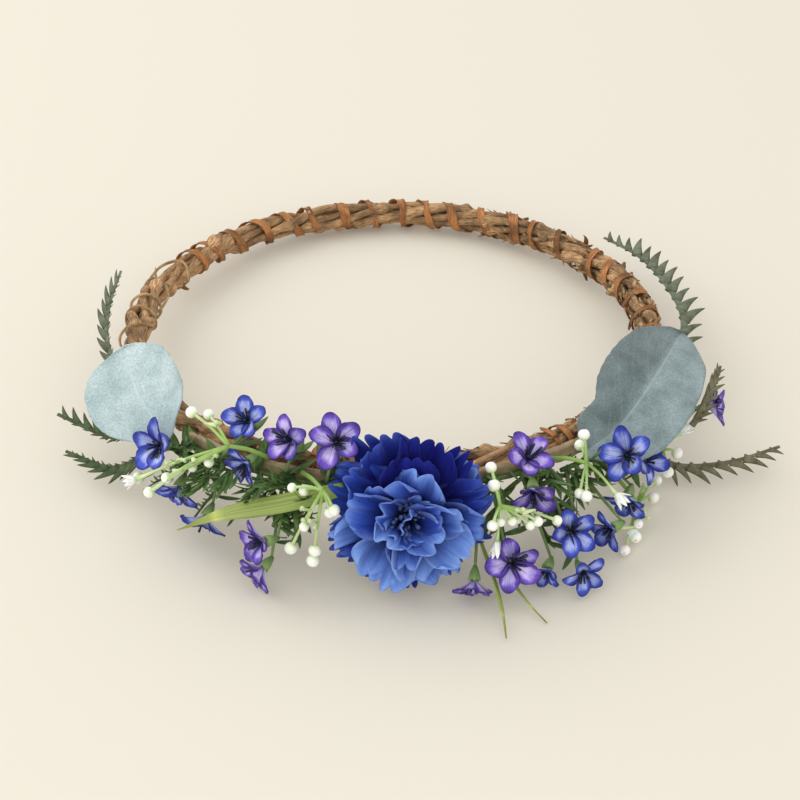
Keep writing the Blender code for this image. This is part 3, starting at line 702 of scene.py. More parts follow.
def copies_tree():
    """Sets copies of one pattern on points, each leaning and facing as its point says."""
    tree, size = shaping_tree("set_out", {
        "Places": "Geometry", "Pattern": "Object", "Unevenness": 0.1, "Seed": 0, "Finish": "Material"})
    lean = add(tree, "GeometryNodeInputNamedAttribute", {"Name": "lean"}, data_type="FLOAT_VECTOR")[0]
    face = add(tree, "GeometryNodeInputNamedAttribute", {"Name": "face"}, data_type="FLOAT_VECTOR")[0]
    scale = add(tree, "GeometryNodeInputNamedAttribute", {"Name": "size"}, data_type="FLOAT")[0]
    turned = add(
        tree, "FunctionNodeAxesToRotation", {"Primary Axis": lean, "Secondary Axis": face},
        primary_axis="Z", secondary_axis="X",
    )[0]
    low = calc("SUBTRACT", 1.0, size["Unevenness"])
    high = calc("ADD", 1.0, size["Unevenness"])
    uneven = add(
        tree, "FunctionNodeRandomValue", {"Min": low, "Max": high, "Seed": size["Seed"]},
        data_type="FLOAT",
    )
    uneven = next(socket for socket in uneven if socket.enabled and socket.type == "VALUE")
    grown_to = calc("MULTIPLY", scale, uneven)
    pattern = add(tree, "GeometryNodeObjectInfo", {"Object": size["Pattern"]}, transform_space="ORIGINAL")
    set_down = add(
        tree, "GeometryNodeInstanceOnPoints",
        {"Points": size["Places"], "Instance": pattern["Geometry"], "Rotation": turned, "Scale": grown_to},
    )
    end_tree(tree, set_down[0], size["Finish"])
    return tree


def set_out(name, tree, pattern, places, finish_of, unevenness=0.1, seed=1):
    """A plain mesh of copies of a pattern object. places is (point, lean, face, size) for each copy."""
    start = bpy.data.meshes.new(name)
    start.from_pydata([place[0] for place in places], [], [])
    for label, column in (("lean", 1), ("face", 2)):
        values = start.attributes.new(label, "FLOAT_VECTOR", "POINT")
        values.data.foreach_set("vector", [number for place in places for number in place[column]])
    start.attributes.new("size", "FLOAT", "POINT").data.foreach_set("value", [place[3] for place in places])
    sizes = {"Pattern": pattern, "Unevenness": unevenness, "Seed": seed, "Finish": finish_of}
    return grown(name, tree, sizes, start)


def pattern_object(name, points, faces, tips):
    """A pattern for set_out. It stays out of the scene. tips runs from 0 at its foot to 1 at its tip."""
    mesh = bpy.data.meshes.new(name)
    mesh.from_pydata(points, [], faces)
    mesh.attributes.new("tip", "FLOAT", "POINT").data.foreach_set("value", tips)
    mesh.shade_smooth()
    work = bmesh.new()
    work.from_mesh(mesh)
    bmesh.ops.remove_doubles(work, verts=work.verts, dist=0.0001)
    bmesh.ops.recalc_face_normals(work, faces=work.faces)
    work.to_mesh(mesh)
    work.free()
    return bpy.data.objects.new(name, mesh)


def tapered_blade(length_steps, sides, half_width, half_depth, sweep, bow):
    """A closed blade one long. half_width, half_depth, sweep and bow are functions of the share along it."""
    points, faces, tips = [], [], []
    for step in range(length_steps + 1):
        share = step / length_steps
        for side in range(sides):
            angle = math.tau * side / sides
            points.append((
                half_depth(share) * math.sin(angle) + bow(share),
                half_width(share) * math.cos(angle) + sweep(share),
                share,
            ))
            tips.append(share)
    for step in range(length_steps):
        for side in range(sides):
            near, far = step * sides + side, step * sides + (side + 1) % sides
            faces.append((near, far, far + sides, near + sides))
    faces.append(tuple(reversed(range(sides))))
    faces.append(tuple(range(length_steps * sides, (length_steps + 1) * sides)))
    return points, faces, tips


TOOTH = pattern_object("tooth", *tapered_blade(
    TOOTH_STEPS, 6,
    lambda share: 0.19 * (1 - share) ** 0.75 + 0.010,
    lambda share: 0.055 * (1 - share) ** 0.5 + 0.012,
    lambda share: 0.16 * share**2,
    lambda share: 0.05 * math.sin(share * math.pi),
))


def close_rings(work, rings, smooth_ends=True):
    """Joins rings of points into a closed tube."""
    for near, far in zip(rings, rings[1:]):
        for step in range(len(near)):
            after = (step + 1) % len(near)
            work.faces.new((near[step], near[after], far[after], far[step])).smooth = True
    for end in (reversed(rings[0]), rings[-1]):
        work.faces.new(end).smooth = smooth_ends


def rib_mesh(work, path, half_width, half_depth, normal, layer):
    """Adds a flat tapered rib along a path to a bmesh."""
    rings = []
    for number, point in enumerate(path):
        share = number / (len(path) - 1)
        ahead = (path[min(number + 1, len(path) - 1)] - path[max(number - 1, 0)]).normalized()
        side = ahead.cross(normal).normalized()
        face = side.cross(ahead).normalized()
        ring = []
        for step in range(8):
            angle = math.tau * step / 8
            across = side * half_width(share) * math.cos(angle) + face * half_depth(share) * math.sin(angle)
            vert = work.verts.new(point + across)
            vert[layer] = share * 0.5
            ring.append(vert)
        rings.append(ring)
    close_rings(work, rings, smooth_ends=False)


def tip_of(tree):
    """How far a point lies to the tip of its leaf, stalk or petal, from 0 to 1."""
    return add(tree, "ShaderNodeAttribute", attribute_name="tip")["Fac"]


def fern_finish(name, green, olive, tip_brown):
    made, tree, shader = finish(name, 0.7, Specular_IOR_Level=0.25)
    dust, fine, tip = clouds(tree, 260.0, 4.0), clouds(tree, 1500.0, 2.0), tip_of(tree)
    leaf_colour = ramp(dust, (0.32, olive), (0.66, green))
    toned = blend(
        "MULTIPLY", 0.6, leaf_colour,
        ramp(fine, (0.35, (0.75, 0.75, 0.72, 1)), (0.65, (1.15, 1.15, 1.1, 1))),
    )
    browned = calc("MULTIPLY", calc("POWER", tip, 4.0), 0.85)
    feed(blend("MIX", browned, toned, tip_brown), shader, "Base Color")
    bumped(shader, fine, 0.35, 0.15 * MM)
    return made


FERN_GREEN = fern_finish(
    "dusted_green", (0.175, 0.205, 0.15, 1), (0.085, 0.1, 0.058, 1), (0.06, 0.038, 0.02, 1),
)
FERN_DEEP = fern_finish(
    "deep_green_leaf", (0.105, 0.150, 0.075, 1), (0.050, 0.078, 0.032, 1), (0.060, 0.040, 0.020, 1))
FERN_OLIVE = fern_finish(
    "dusted_olive", (0.19, 0.185, 0.12, 1), (0.095, 0.088, 0.048, 1), (0.06, 0.038, 0.02, 1),
)

# Each leaf: its route on the hoop, its half width, its pairs of teeth, the way it faces, the share of a
# tooth's length on its left and right side, and its finish.
FERNS = {
    "fern_left_upper": ([(-112, 9.5, 1), (-128, 10.5, 7), (-140, 9, 14), (-148, 5, 23)], 5.0, 9,
                        (-0.5, -0.7, 0.5), (1.0, 0.45), FERN_GREEN),
    "fern_left_middle": ([(-92, 10.5, -7), (-99, 19, -11), (-113, 32, -9)], 5.5, 9,
                         (0, -0.6, 0.8), (0.50, 0.95), FERN_DEEP),
    "fern_left_lower": ([(-86, 11, -11), (-91, 22, -18), (-102, 34, -15)], 5.0, 9,
                        (0, -0.6, 0.8), (0.95, 0.45), FERN_DEEP),
    "fern_right_upper": ([(122, 11, -2), (145, 13, 4), (168, 12, 5), (188, 12, 5), (206, 11, 4)], 6.0, 15,
                         (0.2, -0.6, 0.77), (0.28, 1.1), FERN_GREEN),
    "fern_right_lower": ([(91, 10.5, -13), (95, 22, -20), (102, 38, -19), (110, 52, -16)], 5.0, 11,
                         (0, -0.6, 0.8), (0.12, 1.1), FERN_OLIVE),
    "fern_right_side": ([(97, 25.5, -4), (99, 28, 1), (103, 29.5, 8), (107, 30, 14)], 4.4, 7,
                        (0.2, -0.7, 0.6), (0.9, 0.7), FERN_OLIVE),
}
setter = copies_tree()
for number, (node, (route, half, teeth, normal, sides, leaf_finish)) in enumerate(FERNS.items()):
    path = smooth_path([on_hoop(*point) for point in route])
    normal = hoop_way(normal)
    places = []
    for tooth in range(teeth):
        share = (tooth + 0.6) / (teeth + 0.6)
        size = half * MM * math.sin(math.pi * (0.18 + 0.74 * share)) ** 0.7 * 1.75
        for way, wanted in ((-1, sides[0]), (1, sides[1])):
            point, ahead = along_path(path, share + 0.015 * way)
            side = ahead.cross(normal).normalized() * way
            lean = (side * 0.66 + ahead * 1.05 + normal * 0.1).normalized()
            if wanted > 0.2:
                places.append((point - side * 0.2 * MM, lean, side.cross(ahead) * way, size * wanted))
    row_of_teeth = set_out(node + "_teeth", setter, TOOTH, places, leaf_finish, 0.14, number)
    work = bmesh.new()
    work.from_mesh(row_of_teeth.data)
    bpy.data.objects.remove(row_of_teeth)
    layer = work.verts.layers.float.get("tip") or work.verts.layers.float.new("tip")
    rib_mesh(work, path[::2] + [path[-1]], lambda share: half * MM * (0.27 - 0.17 * share),
             lambda share: (0.45 - 0.25 * share) * MM, normal, layer)
    toothed = placed(node.replace("fern", "toothed_leaf"), meshed(node, work))
    toothed.data.materials.append(leaf_finish)
    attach(toothed, "root")
    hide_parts(node)


# ---- Bark flakes -----------------------------------------------------------------------------------
# Torn flakes of bark and snags of side twigs stand up all over the dry vines. Most lie nearly flat along
# the grain and a few stick out, so the outline of the hoop is rough.

FLAKE = pattern_object("flake", *tapered_blade(
    5, 6,
    lambda share: 0.15 * math.sin(math.pi * (0.15 + 0.7 * share)) + 0.01,
    lambda share: 0.05 * (1 - 0.6 * share),
    lambda share: 0.10 * share**2,
    lambda share: 0.18 * share**2,
))


def clouded(name, roughness, scale, detail, stops, strength, depth, **uniform):
    """A finish whose colour and bump follow one cloud of noise."""
    made, tree, shader = finish(name, roughness, **uniform)
    cloud = clouds(tree, scale, detail)
    feed(ramp(cloud, *stops), shader, "Base Color")
    bumped(shader, cloud, strength, depth)
    return made


FLAKE_BARK = clouded("flaked_bark", 0.8, 300.0, 4.0, (
    (0.34, (0.070, 0.042, 0.022, 1)), (0.50, (0.24, 0.145, 0.072, 1)), (0.66, (0.52, 0.33, 0.16, 1))),
    0.5, 0.3 * MM, Specular_IOR_Level=0.25)
FLAKE_COUNT = 420
VINE_SURFACE = 4.0
rng = random.Random(61)
flakes = []
for number in range(FLAKE_COUNT):
    along = rng.uniform(66, 248) if number % 5 else rng.uniform(-64, 64)
    turn = rng.uniform(0, math.tau) if number % 5 else rng.uniform(0.5, 2.6)
    out, up = math.cos(turn), math.sin(turn)
    angle = along * MM / HOOP_RADIUS
    outward = HOOP_FRAME @ Vector((math.sin(angle), -math.cos(angle), 0))
    ahead = HOOP_FRAME @ Vector((math.cos(angle), math.sin(angle), 0))
    away = outward * out + HOOP_UP * up
    point = on_hoop(along, VINE_SURFACE * out, VINE_SURFACE * up)
    grain = ahead * rng.choice((-1, 1)) + away.cross(ahead) * rng.uniform(-0.5, 0.5)
    lean = (grain + away * (rng.uniform(0.04, 0.20) if number % 12 else rng.uniform(0.3, 0.7))).normalized()
    flakes.append((point, lean, away, rng.uniform(3.0, 6.0) * MM))
bark_flakes = set_out("bark_flakes", setter, FLAKE, flakes, FLAKE_BARK, 0.3, 17)
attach(bark_flakes, "root")


# ---- Grass blades ----------------------------------------------------------------------------------
# Yellow-green plastic grass: one broad blade with a pale joint at the left of the bloom and two narrow
# ones under it. Each is stamped with lengthwise ribs and bent by hand.

GRASS_THICKNESS = 0.45 * MM
GRASS_ROWS, GRASS_COLUMNS = 40, 12
GRASS, GRASS_TREE, grass_shader = finish("ribbed_grass", 0.5, Specular_IOR_Level=0.35)
grass_uv = add(GRASS_TREE, "ShaderNodeUVMap", uv_map="UVMap")[0]
grass_stretch = add(
    GRASS_TREE, "ShaderNodeVectorMath", {0: grass_uv, 1: (26.0, 1.1, 1.0)}, operation="MULTIPLY",
)[0]
grass_streak = add(
    GRASS_TREE, "ShaderNodeTexNoise", {"Vector": grass_stretch, "Scale": 1.0, "Detail": 4.0},
)["Fac"]
grass_along = add(GRASS_TREE, "ShaderNodeSeparateXYZ", {0: grass_uv})[1]
grass_green = ramp(
    grass_streak, (0.28, (0.15, 0.21, 0.045, 1)), (0.5, (0.3, 0.37, 0.1, 1)), (0.74, (0.48, 0.52, 0.2, 1)),
)
grass_ends = ramp(
    grass_along, (0.0, (0.8, 0.95, 0.7, 1)), (0.66, (1, 1, 1, 1)), (0.72, (1.5, 1.45, 1.35, 1)),
    (0.76, (0.95, 0.95, 0.9, 1)), (1.0, (0.75, 0.62, 0.35, 1)),
)
feed(blend("MULTIPLY", 1.0, grass_green, grass_ends), grass_shader, "Base Color")
bumped(grass_shader, grass_streak, 0.35, 0.15 * MM)

GRASS_BLADES = {

    "grass_blade_long": ([(-14, 13, 1), (-28, 20, -2), (-44, 28, -7), (-55, 34, -15)], 3.2, (0, -0.7, 0.7)),
    "grass_blade_front": (
        [(24, 20, -17), (25, 30, -24), (25, 40, -31), (24, 49, -35.5)], 1.8, (1, -0.3, 0.3),
    ),
    "grass_blade_short": (
        [(28, 21, -21), (30, 30, -27.5), (32, 38, -32), (34, 46, -35)], 1.2, (1, -0.3, 0.3),
    ),
}
for number, (node, (route, half, normal)) in enumerate(GRASS_BLADES.items()):
    path = smooth_path([on_hoop(*point) for point in route])
    normal = hoop_way(normal)
    grid = []
    for row in range(GRASS_ROWS + 1):
        v = row / GRASS_ROWS
        middle, ahead = along_path(path, v)
        side = ahead.cross(normal).normalized()
        face = side.cross(ahead).normalized()
        width = half * MM * (0.45 + 0.55 * math.sin(math.pi * min(1.0, 0.08 + v * 0.95) ** 0.85))
        width *= min(1.0, ((1.015 - v) * 2.1) ** 0.8)
        line = []
        for column in range(GRASS_COLUMNS + 1):
            u = 2 * column / GRASS_COLUMNS - 1
            lift = -0.16 * width * u * u + 0.05 * MM * math.cos(column * math.pi) * (1 - v)
            lift += 0.25 * MM * u * noise.noise(Vector((v * 4, 2.0 * number, 0)))
            line.append(middle + side * width * u + face * lift)
        grid.append(line)
    blade = sheet_mesh(node.replace("grass_blade", "ribbed_blade"), [grid], GRASS_THICKNESS)
    blade.data.materials.append(GRASS)
    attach(blade, "root")
    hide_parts(node)


# ---- Small flowers ---------------------------------------------------------------------------------
# Five-petalled blossoms of stiffened polyester, printed from a pale throat to a deep rim: some royal
# blue, some violet. Each is pressed into a shallow cup and threaded on its stem up to the calyx.

PETAL_WALL = 0.35 * MM
PETAL_ROWS, PETAL_COLUMNS = 12, 10
PETALS = 5
FILAMENTS = 9


def petal_grid(design, rng, rows, columns):
    """Rows of points of one petal: X across it, Y out from the flower's middle and Z to its face.

    long and wide are its sizes and neck its width at the foot as a share. rise is its slope in radians at the
    foot, bend how much that changes to the tip and curl how much more the end turns. full is the share where
    it is widest, narrow how far it draws in beyond, and tip how round its end is. cup is how far its edges
    lift, lobes, notch and pleat the fingers at its end, crease the fold along it, ruffle the height of its
    waves, twist its turn and start how far from the middle it begins.
    """
    long, wide = design["long"], design["wide"]
    steps = 40
    place, line, slope = (design.get("start", 0.6 * MM), 0.0), [], design["rise"]
    for step in range(steps + 8):
        share = step / steps
        angle = (
            design["rise"] + design["bend"] * share
            + design.get("curl", 0.0) * max(0.0, share - 0.6) ** 2 * 6
        )
        line.append((place[0], place[1], angle))
        place = (place[0] + math.cos(angle) * long / steps, place[1] + math.sin(angle) * long / steps)
    shift, tilt = rng.uniform(0, math.tau), rng.uniform(-1, 1)
    wave_a, wave_b = rng.uniform(1.2, 2.0), rng.uniform(2.4, 3.6)
    lobes, notch = design.get("lobes", 0), design.get("notch", 0.0)
    grid = []
    for row in range(rows + 1):
        v = row / rows
        wide_here = (
            wide / 2
            * (
                design["neck"]
                + (1 - design["neck"]) * math.sin(math.pi / 2 * min(1.0, v / design["full"])) ** 1.3
            )
        )
        if v > design["full"]:
            wide_here *= 1 - design.get("narrow", 0.35) * ((v - design["full"]) / (1 - design["full"])) ** 2
        points = []
        for column in range(columns + 1):
            u = 2 * column / columns - 1
            drop = design["tip"] * (1 - math.sqrt(1 - 0.98 * u * u)) * v**3
            groove = 0.0
            if lobes:
                spot = lobes * (u + 1) / 2 + 0.18 * tilt * (1 - u * u)
                finger = 2 * (spot - math.floor(spot)) - 1
                drop += notch * (1 - math.sqrt(1 - 0.98 * finger * finger)) * v**2.2
                groove = design.get("pleat", 0.0) * (0.4 - finger * finger) * v**1.6
            share = v * (1 - drop)
            index = min(share, 1.0) * steps
            low = int(index)
            along = [a + (b - a) * (index - low) for a, b in zip(line[low], line[low + 1])]
            lift = design["cup"] * wide / 2 * u * u * math.sin(math.pi * min(1.0, 0.15 + v * 0.75))
            lift += (
                design["ruffle"] * v ** 1.4
                * (
                    math.sin(wave_a * math.pi * u + shift) * 0.6
                    + math.sin(wave_b * math.pi * u + 2.1 * shift + 3 * v) * 0.4
                )
            )
            lift += groove - design.get("crease", 0.0) * math.exp(-(u / 0.16) ** 2) * math.sin(math.pi * v)
            turn = design.get("twist", 0.0) * v
            across, up = wide_here * u, lift
            across, up = (
                across * math.cos(turn) - up * math.sin(turn),
                across * math.sin(turn) + up * math.cos(turn),
            )
            points.append(
                Vector((across, along[0] - math.sin(along[2]) * up, along[1] + math.cos(along[2]) * up)),
            )
        grid.append(points)
    return grid


def flower_stance(node):
    """Where a flower's CAD node has its base, its axis, the way to one petal, and its reach and depth."""
    points = points_of(node)
    centre = points.mean(axis=0)
    axis = np.linalg.svd(points - centre)[2][2]
    height = (points - centre) @ axis
    reach = np.linalg.norm((points - centre) - np.outer(height, axis), axis=1)
    if height[reach > 0.8 * reach.max()].mean() < height[reach < 0.4 * reach.max()].mean():
        axis, height = -axis, -height
    base = centre + axis * height.min()
    far = points[reach.argmax()] - base
    out = Vector(far - axis * (far @ axis)).normalized()
    return Vector(base), Vector(axis), out, float(reach.max()), float(height.max() - height.min())


def flower_frame(base, axis, out):
    """The matrix whose Z is the flower's axis and whose Y runs out along one petal."""
    return Matrix.Translation(base) @ Matrix((out.cross(axis), out, axis)).transposed().to_4x4()


# Silk: veins that run along a petal, a fine weave, the rim and throat as masks, from its own UV map.
SILK, silk_in = effect("silk", {"Veins": 22.0, "Threads": 46.0, "Seed": 0.0}, {
    "Vein": "Float", "Rim": "Float", "Along": "Float", "Tint": "Float", "Height": "Float"})
silk_uv = add(SILK, "ShaderNodeUVMap", uv_map="UVMap")[0]
silk_u, silk_v, _ = add(SILK, "ShaderNodeSeparateXYZ", {0: silk_uv})
silk_tint = add(SILK, "ShaderNodeAttribute", attribute_name="tint")["Fac"]
silk_off = calc("MULTIPLY", calc("ABSOLUTE", calc("SUBTRACT", silk_u, 0.5)), 2.0)
silk_fan = calc("MULTIPLY", calc("SUBTRACT", silk_u, 0.5), silk_in["Veins"])
silk_place = add(
    SILK, "ShaderNodeCombineXYZ",
    {
        0: silk_fan, 1: calc("MULTIPLY", silk_v, 1.6),
        2: calc("MULTIPLY_ADD", silk_tint, 37.0, silk_in["Seed"]),
    },
)
silk_vein = add(SILK, "ShaderNodeTexNoise", {"Vector": silk_place[0], "Scale": 1.0, "Detail": 3.0})["Fac"]
silk_warp = calc("SINE", calc("MULTIPLY", silk_u, calc("MULTIPLY", silk_in["Threads"], math.tau)))
silk_weft = calc("SINE", calc("MULTIPLY", silk_v, calc("MULTIPLY", silk_in["Threads"], math.tau)))
silk_weave = calc("MULTIPLY_ADD", calc("MULTIPLY", silk_warp, silk_weft), 0.5, 0.5)
silk_blot = add(
    SILK, "ShaderNodeTexNoise",
    {"Vector": add(SILK, "ShaderNodeTexCoord")["Object"], "Scale": 330.0, "Detail": 2.0},
)["Fac"]
silk_rim = calc("MAXIMUM", calc("POWER", silk_off, 2.2), calc("POWER", silk_v, 4.0))
silk_rim = calc("MULTIPLY_ADD", calc("SUBTRACT", silk_blot, 0.5), 0.5, silk_rim)
add(
    SILK, "NodeGroupOutput",
    {
        "Vein": silk_vein, "Rim": silk_rim, "Along": silk_v, "Tint": silk_tint,
        "Height": calc("MULTIPLY_ADD", silk_weave, 0.25, silk_vein),
    },
)


def printed_silk(name, throat, middle, rim, dark, seed):
    """Petal silk printed from the throat to the rim, with darker veins."""
    made, tree, shader = finish(name, 0.6, Specular_IOR_Level=0.35, Sheen_Weight=0.12)
    silk = in_group(tree, SILK, Seed=seed)
    body = ramp(silk["Rim"], (0.1, throat), (0.42, middle), (0.9, rim))
    foot = ramp(silk["Along"], (0.06, dark), (0.3, (1, 1, 1, 1)))
    printed = blend("MULTIPLY", 0.85, body, foot)
    veined = blend(
        "MULTIPLY", 0.75, printed,
        ramp(
            silk["Vein"], (0.36, (0.45, 0.45, 0.62, 1)), (0.52, (1, 1, 1, 1)),
            (0.7, (1.25, 1.25, 1.15, 1)),
        ),
    )
    tinted = blend(
        "MULTIPLY", 1.0, veined,
        ramp(silk["Tint"], (0.0, (0.6, 0.62, 0.75, 1)), (0.5, (1, 1, 1, 1)), (1.0, (1.35, 1.3, 1.2, 1))),
    )
    feed(tinted, shader, "Base Color")
    bumped(shader, silk["Height"], 0.4, 0.18 * MM)
    return made


BLUE_SILK = printed_silk(
    "royal_blue_silk", (0.42, 0.5, 0.88, 1), (0.05, 0.09, 0.56, 1), (0.014, 0.022, 0.26, 1),
    (0.3, 0.34, 0.55, 1), 1.0,
)
VIOLET_SILK = printed_silk(
    "violet_silk", (0.58, 0.5, 0.9, 1), (0.165, 0.09, 0.56, 1), (0.05, 0.016, 0.22, 1),
    (0.45, 0.38, 0.6, 1), 6.0,
)


def tip_shaded(name, roughness, *stops, **uniform):
    """A finish that changes colour from the foot to the tip."""
    made, tree, shader = finish(name, roughness, **uniform)
    feed(ramp(tip_of(tree), *stops), shader, "Base Color")
    return made


FILAMENT = tip_shaded(
    "slate_filament", 0.55, (0.0, (0.020, 0.045, 0.055, 1)), (0.7, (0.008, 0.010, 0.032, 1)),
    (1.0, (0.035, 0.035, 0.07, 1)), Specular_IOR_Level=0.4)


def thread_width(share):
    """Half a thread's width: even, with a small knob at its end."""
    return 0.055 + 0.05 * max(0.0, share - 0.75) * 4 * (1.15 - share) * 4


THREAD = pattern_object("thread", *tapered_blade(
    6, 5,
    thread_width,
    thread_width,
    lambda share: 0.0,
    lambda share: 0.14 * share**2,
))

flower_nodes = sorted(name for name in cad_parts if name.startswith("flower_") and "stem" not in name)
throats = []
for number, node in enumerate(flower_nodes):
    rng = random.Random(100 + number)
    base, axis, out, reach, depth = flower_stance(node)
    stand = flower_frame(base, axis, out)
    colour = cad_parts[node].data.materials[0].name.split(".")[0]
    rise = math.atan2(depth * 0.85, reach)
    grids, tints = [], []
    for petal in range(PETALS):
        design = {
            "long": reach * rng.uniform(1.0, 1.14), "wide": reach * rng.uniform(0.66, 0.78), "neck": 0.24,
            "full": 0.6, "narrow": 0.18, "tip": 0.34, "rise": rise + rng.uniform(0.0, 0.42),
            "bend": -rng.uniform(0.1, 0.75), "curl": rng.uniform(-0.5, 0.3),
            "cup": rng.uniform(0.35, 0.65), "ruffle": rng.uniform(0.1, 0.35) * MM, "crease": 0.22 * MM,
            "twist": rng.uniform(-0.4, 0.4), "start": 0.5 * MM,
        }
        place = stand @ Matrix.Rotation(math.tau * petal / PETALS + rng.uniform(-0.09, 0.09), 4, "Z")
        height = Vector((0, 0, 0.8 * MM + 0.15 * MM * (petal % 2)))
        grids.append([[place @ (point + height) for point in row] for row in petal_grid(
            design, rng, PETAL_ROWS, PETAL_COLUMNS)])
        tints.append(rng.uniform(0.2, 0.95))
    blossom = sheet_mesh(node.replace("flower", "blossom"), grids, PETAL_WALL, tints)
    blossom.data.materials.append(BLUE_SILK if colour == "blue" else VIOLET_SILK)
    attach(blossom, "root")
    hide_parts(node)
    sweep = rng.uniform(0, math.tau)
    for thread in range(FILAMENTS):
        turn = math.tau * (thread + rng.uniform(-0.3, 0.3)) / FILAMENTS
        swept = Vector((math.sin(sweep), math.cos(sweep), 0)) * 0.35
        lean = (
            stand.to_3x3()
            @ (swept + Vector((math.sin(turn) * 0.26, math.cos(turn) * 0.26, rng.uniform(0.75, 1.0))))
        )
        face = stand.to_3x3() @ Vector((math.sin(turn), math.cos(turn), 0))
        foot = stand @ Vector((0.5 * MM * math.sin(turn), 0.5 * MM * math.cos(turn), 1.3 * MM))
        throats.append((foot, lean.normalized(), face, reach * rng.uniform(0.50, 0.66)))
filaments = set_out("blossom_filaments", setter, THREAD, throats, FILAMENT, 0.2, 5)
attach(filaments, "root")


# ---- Large bloom -----------------------------------------------------------------------------------
# A double cornflower of heat-set polyester. Rings of petals are cut with two or three fingers, ruffled
# and stacked on one stalk, dark straps at the back and broad bright ones in front, round a dark eye. The
# lower petals are made lighter as painted light, and every petal's foot is darkened as painted shade.

BLOOM_WALL = 0.40 * MM
BLOOM_ROWS, BLOOM_COLUMNS = 18, 32
EYE_THREADS = 54
EYE_HEIGHT = 11.0 * MM
calyx_middle = Vector(points_of("bloom_calyx").mean(axis=0))
tuft_middle = Vector(points_of("bloom_stamens").mean(axis=0))
BLOOM_AXIS = (tuft_middle - calyx_middle).normalized()
calyx_heights = [(Vector(point) - calyx_middle).dot(BLOOM_AXIS) for point in points_of("bloom_calyx")]
BLOOM_BASE = calyx_middle + BLOOM_AXIS * min(calyx_heights)
BLOOM_FRAME = flower_frame(
    BLOOM_BASE, BLOOM_AXIS, (HOOP_UP - BLOOM_AXIS * HOOP_UP.dot(BLOOM_AXIS)).normalized(),
)


def heat_set_silk(name, dark, middle, light, edge, seed):
    """Ruffled petal silk: painted shade darkens each petal towards its foot, the tint carries painted light
    on the lower petals, with soft veins and a thin pale cut edge.
    """
    made, tree, shader = finish(
        name, 0.78, Specular_IOR_Level=0.16, Sheen_Weight=0.04, Sheen_Roughness=0.45,
    )
    silk = in_group(tree, SILK, Seed=seed, Veins=16.0, Threads=90.0)
    # The tone rises from foot to tip and with the petal's tint, which holds painted light as well as a random
    # spread.
    tone_and_painted_light = calc("MULTIPLY_ADD", silk["Along"], 0.42, calc("MULTIPLY", silk["Tint"], 0.78))
    body = ramp(tone_and_painted_light, (0.4, dark), (0.72, middle), (1.0, light))
    # Painted shade: each petal is darkened strongly towards its foot, where the layers of petals shade one
    # another.
    body = blend(
        "MULTIPLY", 1.0, body,
        ramp(
            silk["Along"], (0.25, (0.12, 0.14, 0.26, 1)), (0.62, (0.5, 0.53, 0.64, 1)),
            (0.95, (1.12, 1.12, 1.08, 1)),
        ),
    )
    veined = blend(
        "MULTIPLY", 0.8, body,
        ramp(silk["Vein"], (0.34, (0.68, 0.7, 0.8, 1)), (0.52, (1, 1, 1, 1)), (0.7, (1.2, 1.18, 1.12, 1))),
    )
    rimmed = calc("MULTIPLY", calc("MAXIMUM", calc("SUBTRACT", silk["Rim"], 0.55), 0.0), 0.95)
    rimmed = calc("MULTIPLY", rimmed, silk["Tint"])
    feed(blend("MIX", rimmed, veined, edge), shader, "Base Color")
    bumped(shader, silk["Height"], 0.5, 0.25 * MM)
    return made


BLOOM_SILK = heat_set_silk(
    "cornflower_silk", (0.006, 0.01, 0.19, 1), (0.026, 0.072, 0.43, 1), (0.155, 0.29, 0.75, 1),
    (0.3, 0.44, 0.82, 1), 11.0,
)

# Each ring: the CAD node it is part of, its number of petals, how far up the stalk it sits, reach, width,
# rise, bend, fingers and the depth between them, ruffle, how bright it is, and how much painted light
# brightens the petals below.
BLOOM_RINGS = (
    ("bloom_petals_outer", 10, 5.4, 30.0, 13.0, 0.10, -0.10, 3, 0.34, 1.2, -0.06, 0.20),
    ("bloom_petals_outer", 8, 6.2, 28.0, 19.0, 0.20, -0.25, 4, 0.13, 1.9, -0.06, 0.86),
    ("bloom_petals_middle", 7, 7.4, 25.5, 18.5, 0.45, -0.45, 4, 0.12, 2.4, 0.14, 0.80),
    ("bloom_petals_middle", 7, 8.4, 22.5, 16.5, 0.74, -0.50, 3, 0.13, 2.5, 0.44, 0.48),
    ("bloom_petals_inner", 6, 9.2, 18.5, 14.0, 1.02, -0.50, 2, 0.16, 2.0, 0.58, 0.26),
    ("bloom_petals_inner", 5, 10.0, 13.5, 11.0, 1.28, -0.30, 2, 0.22, 1.3, 0.42, 0.20),
)
bloom_grids = {}
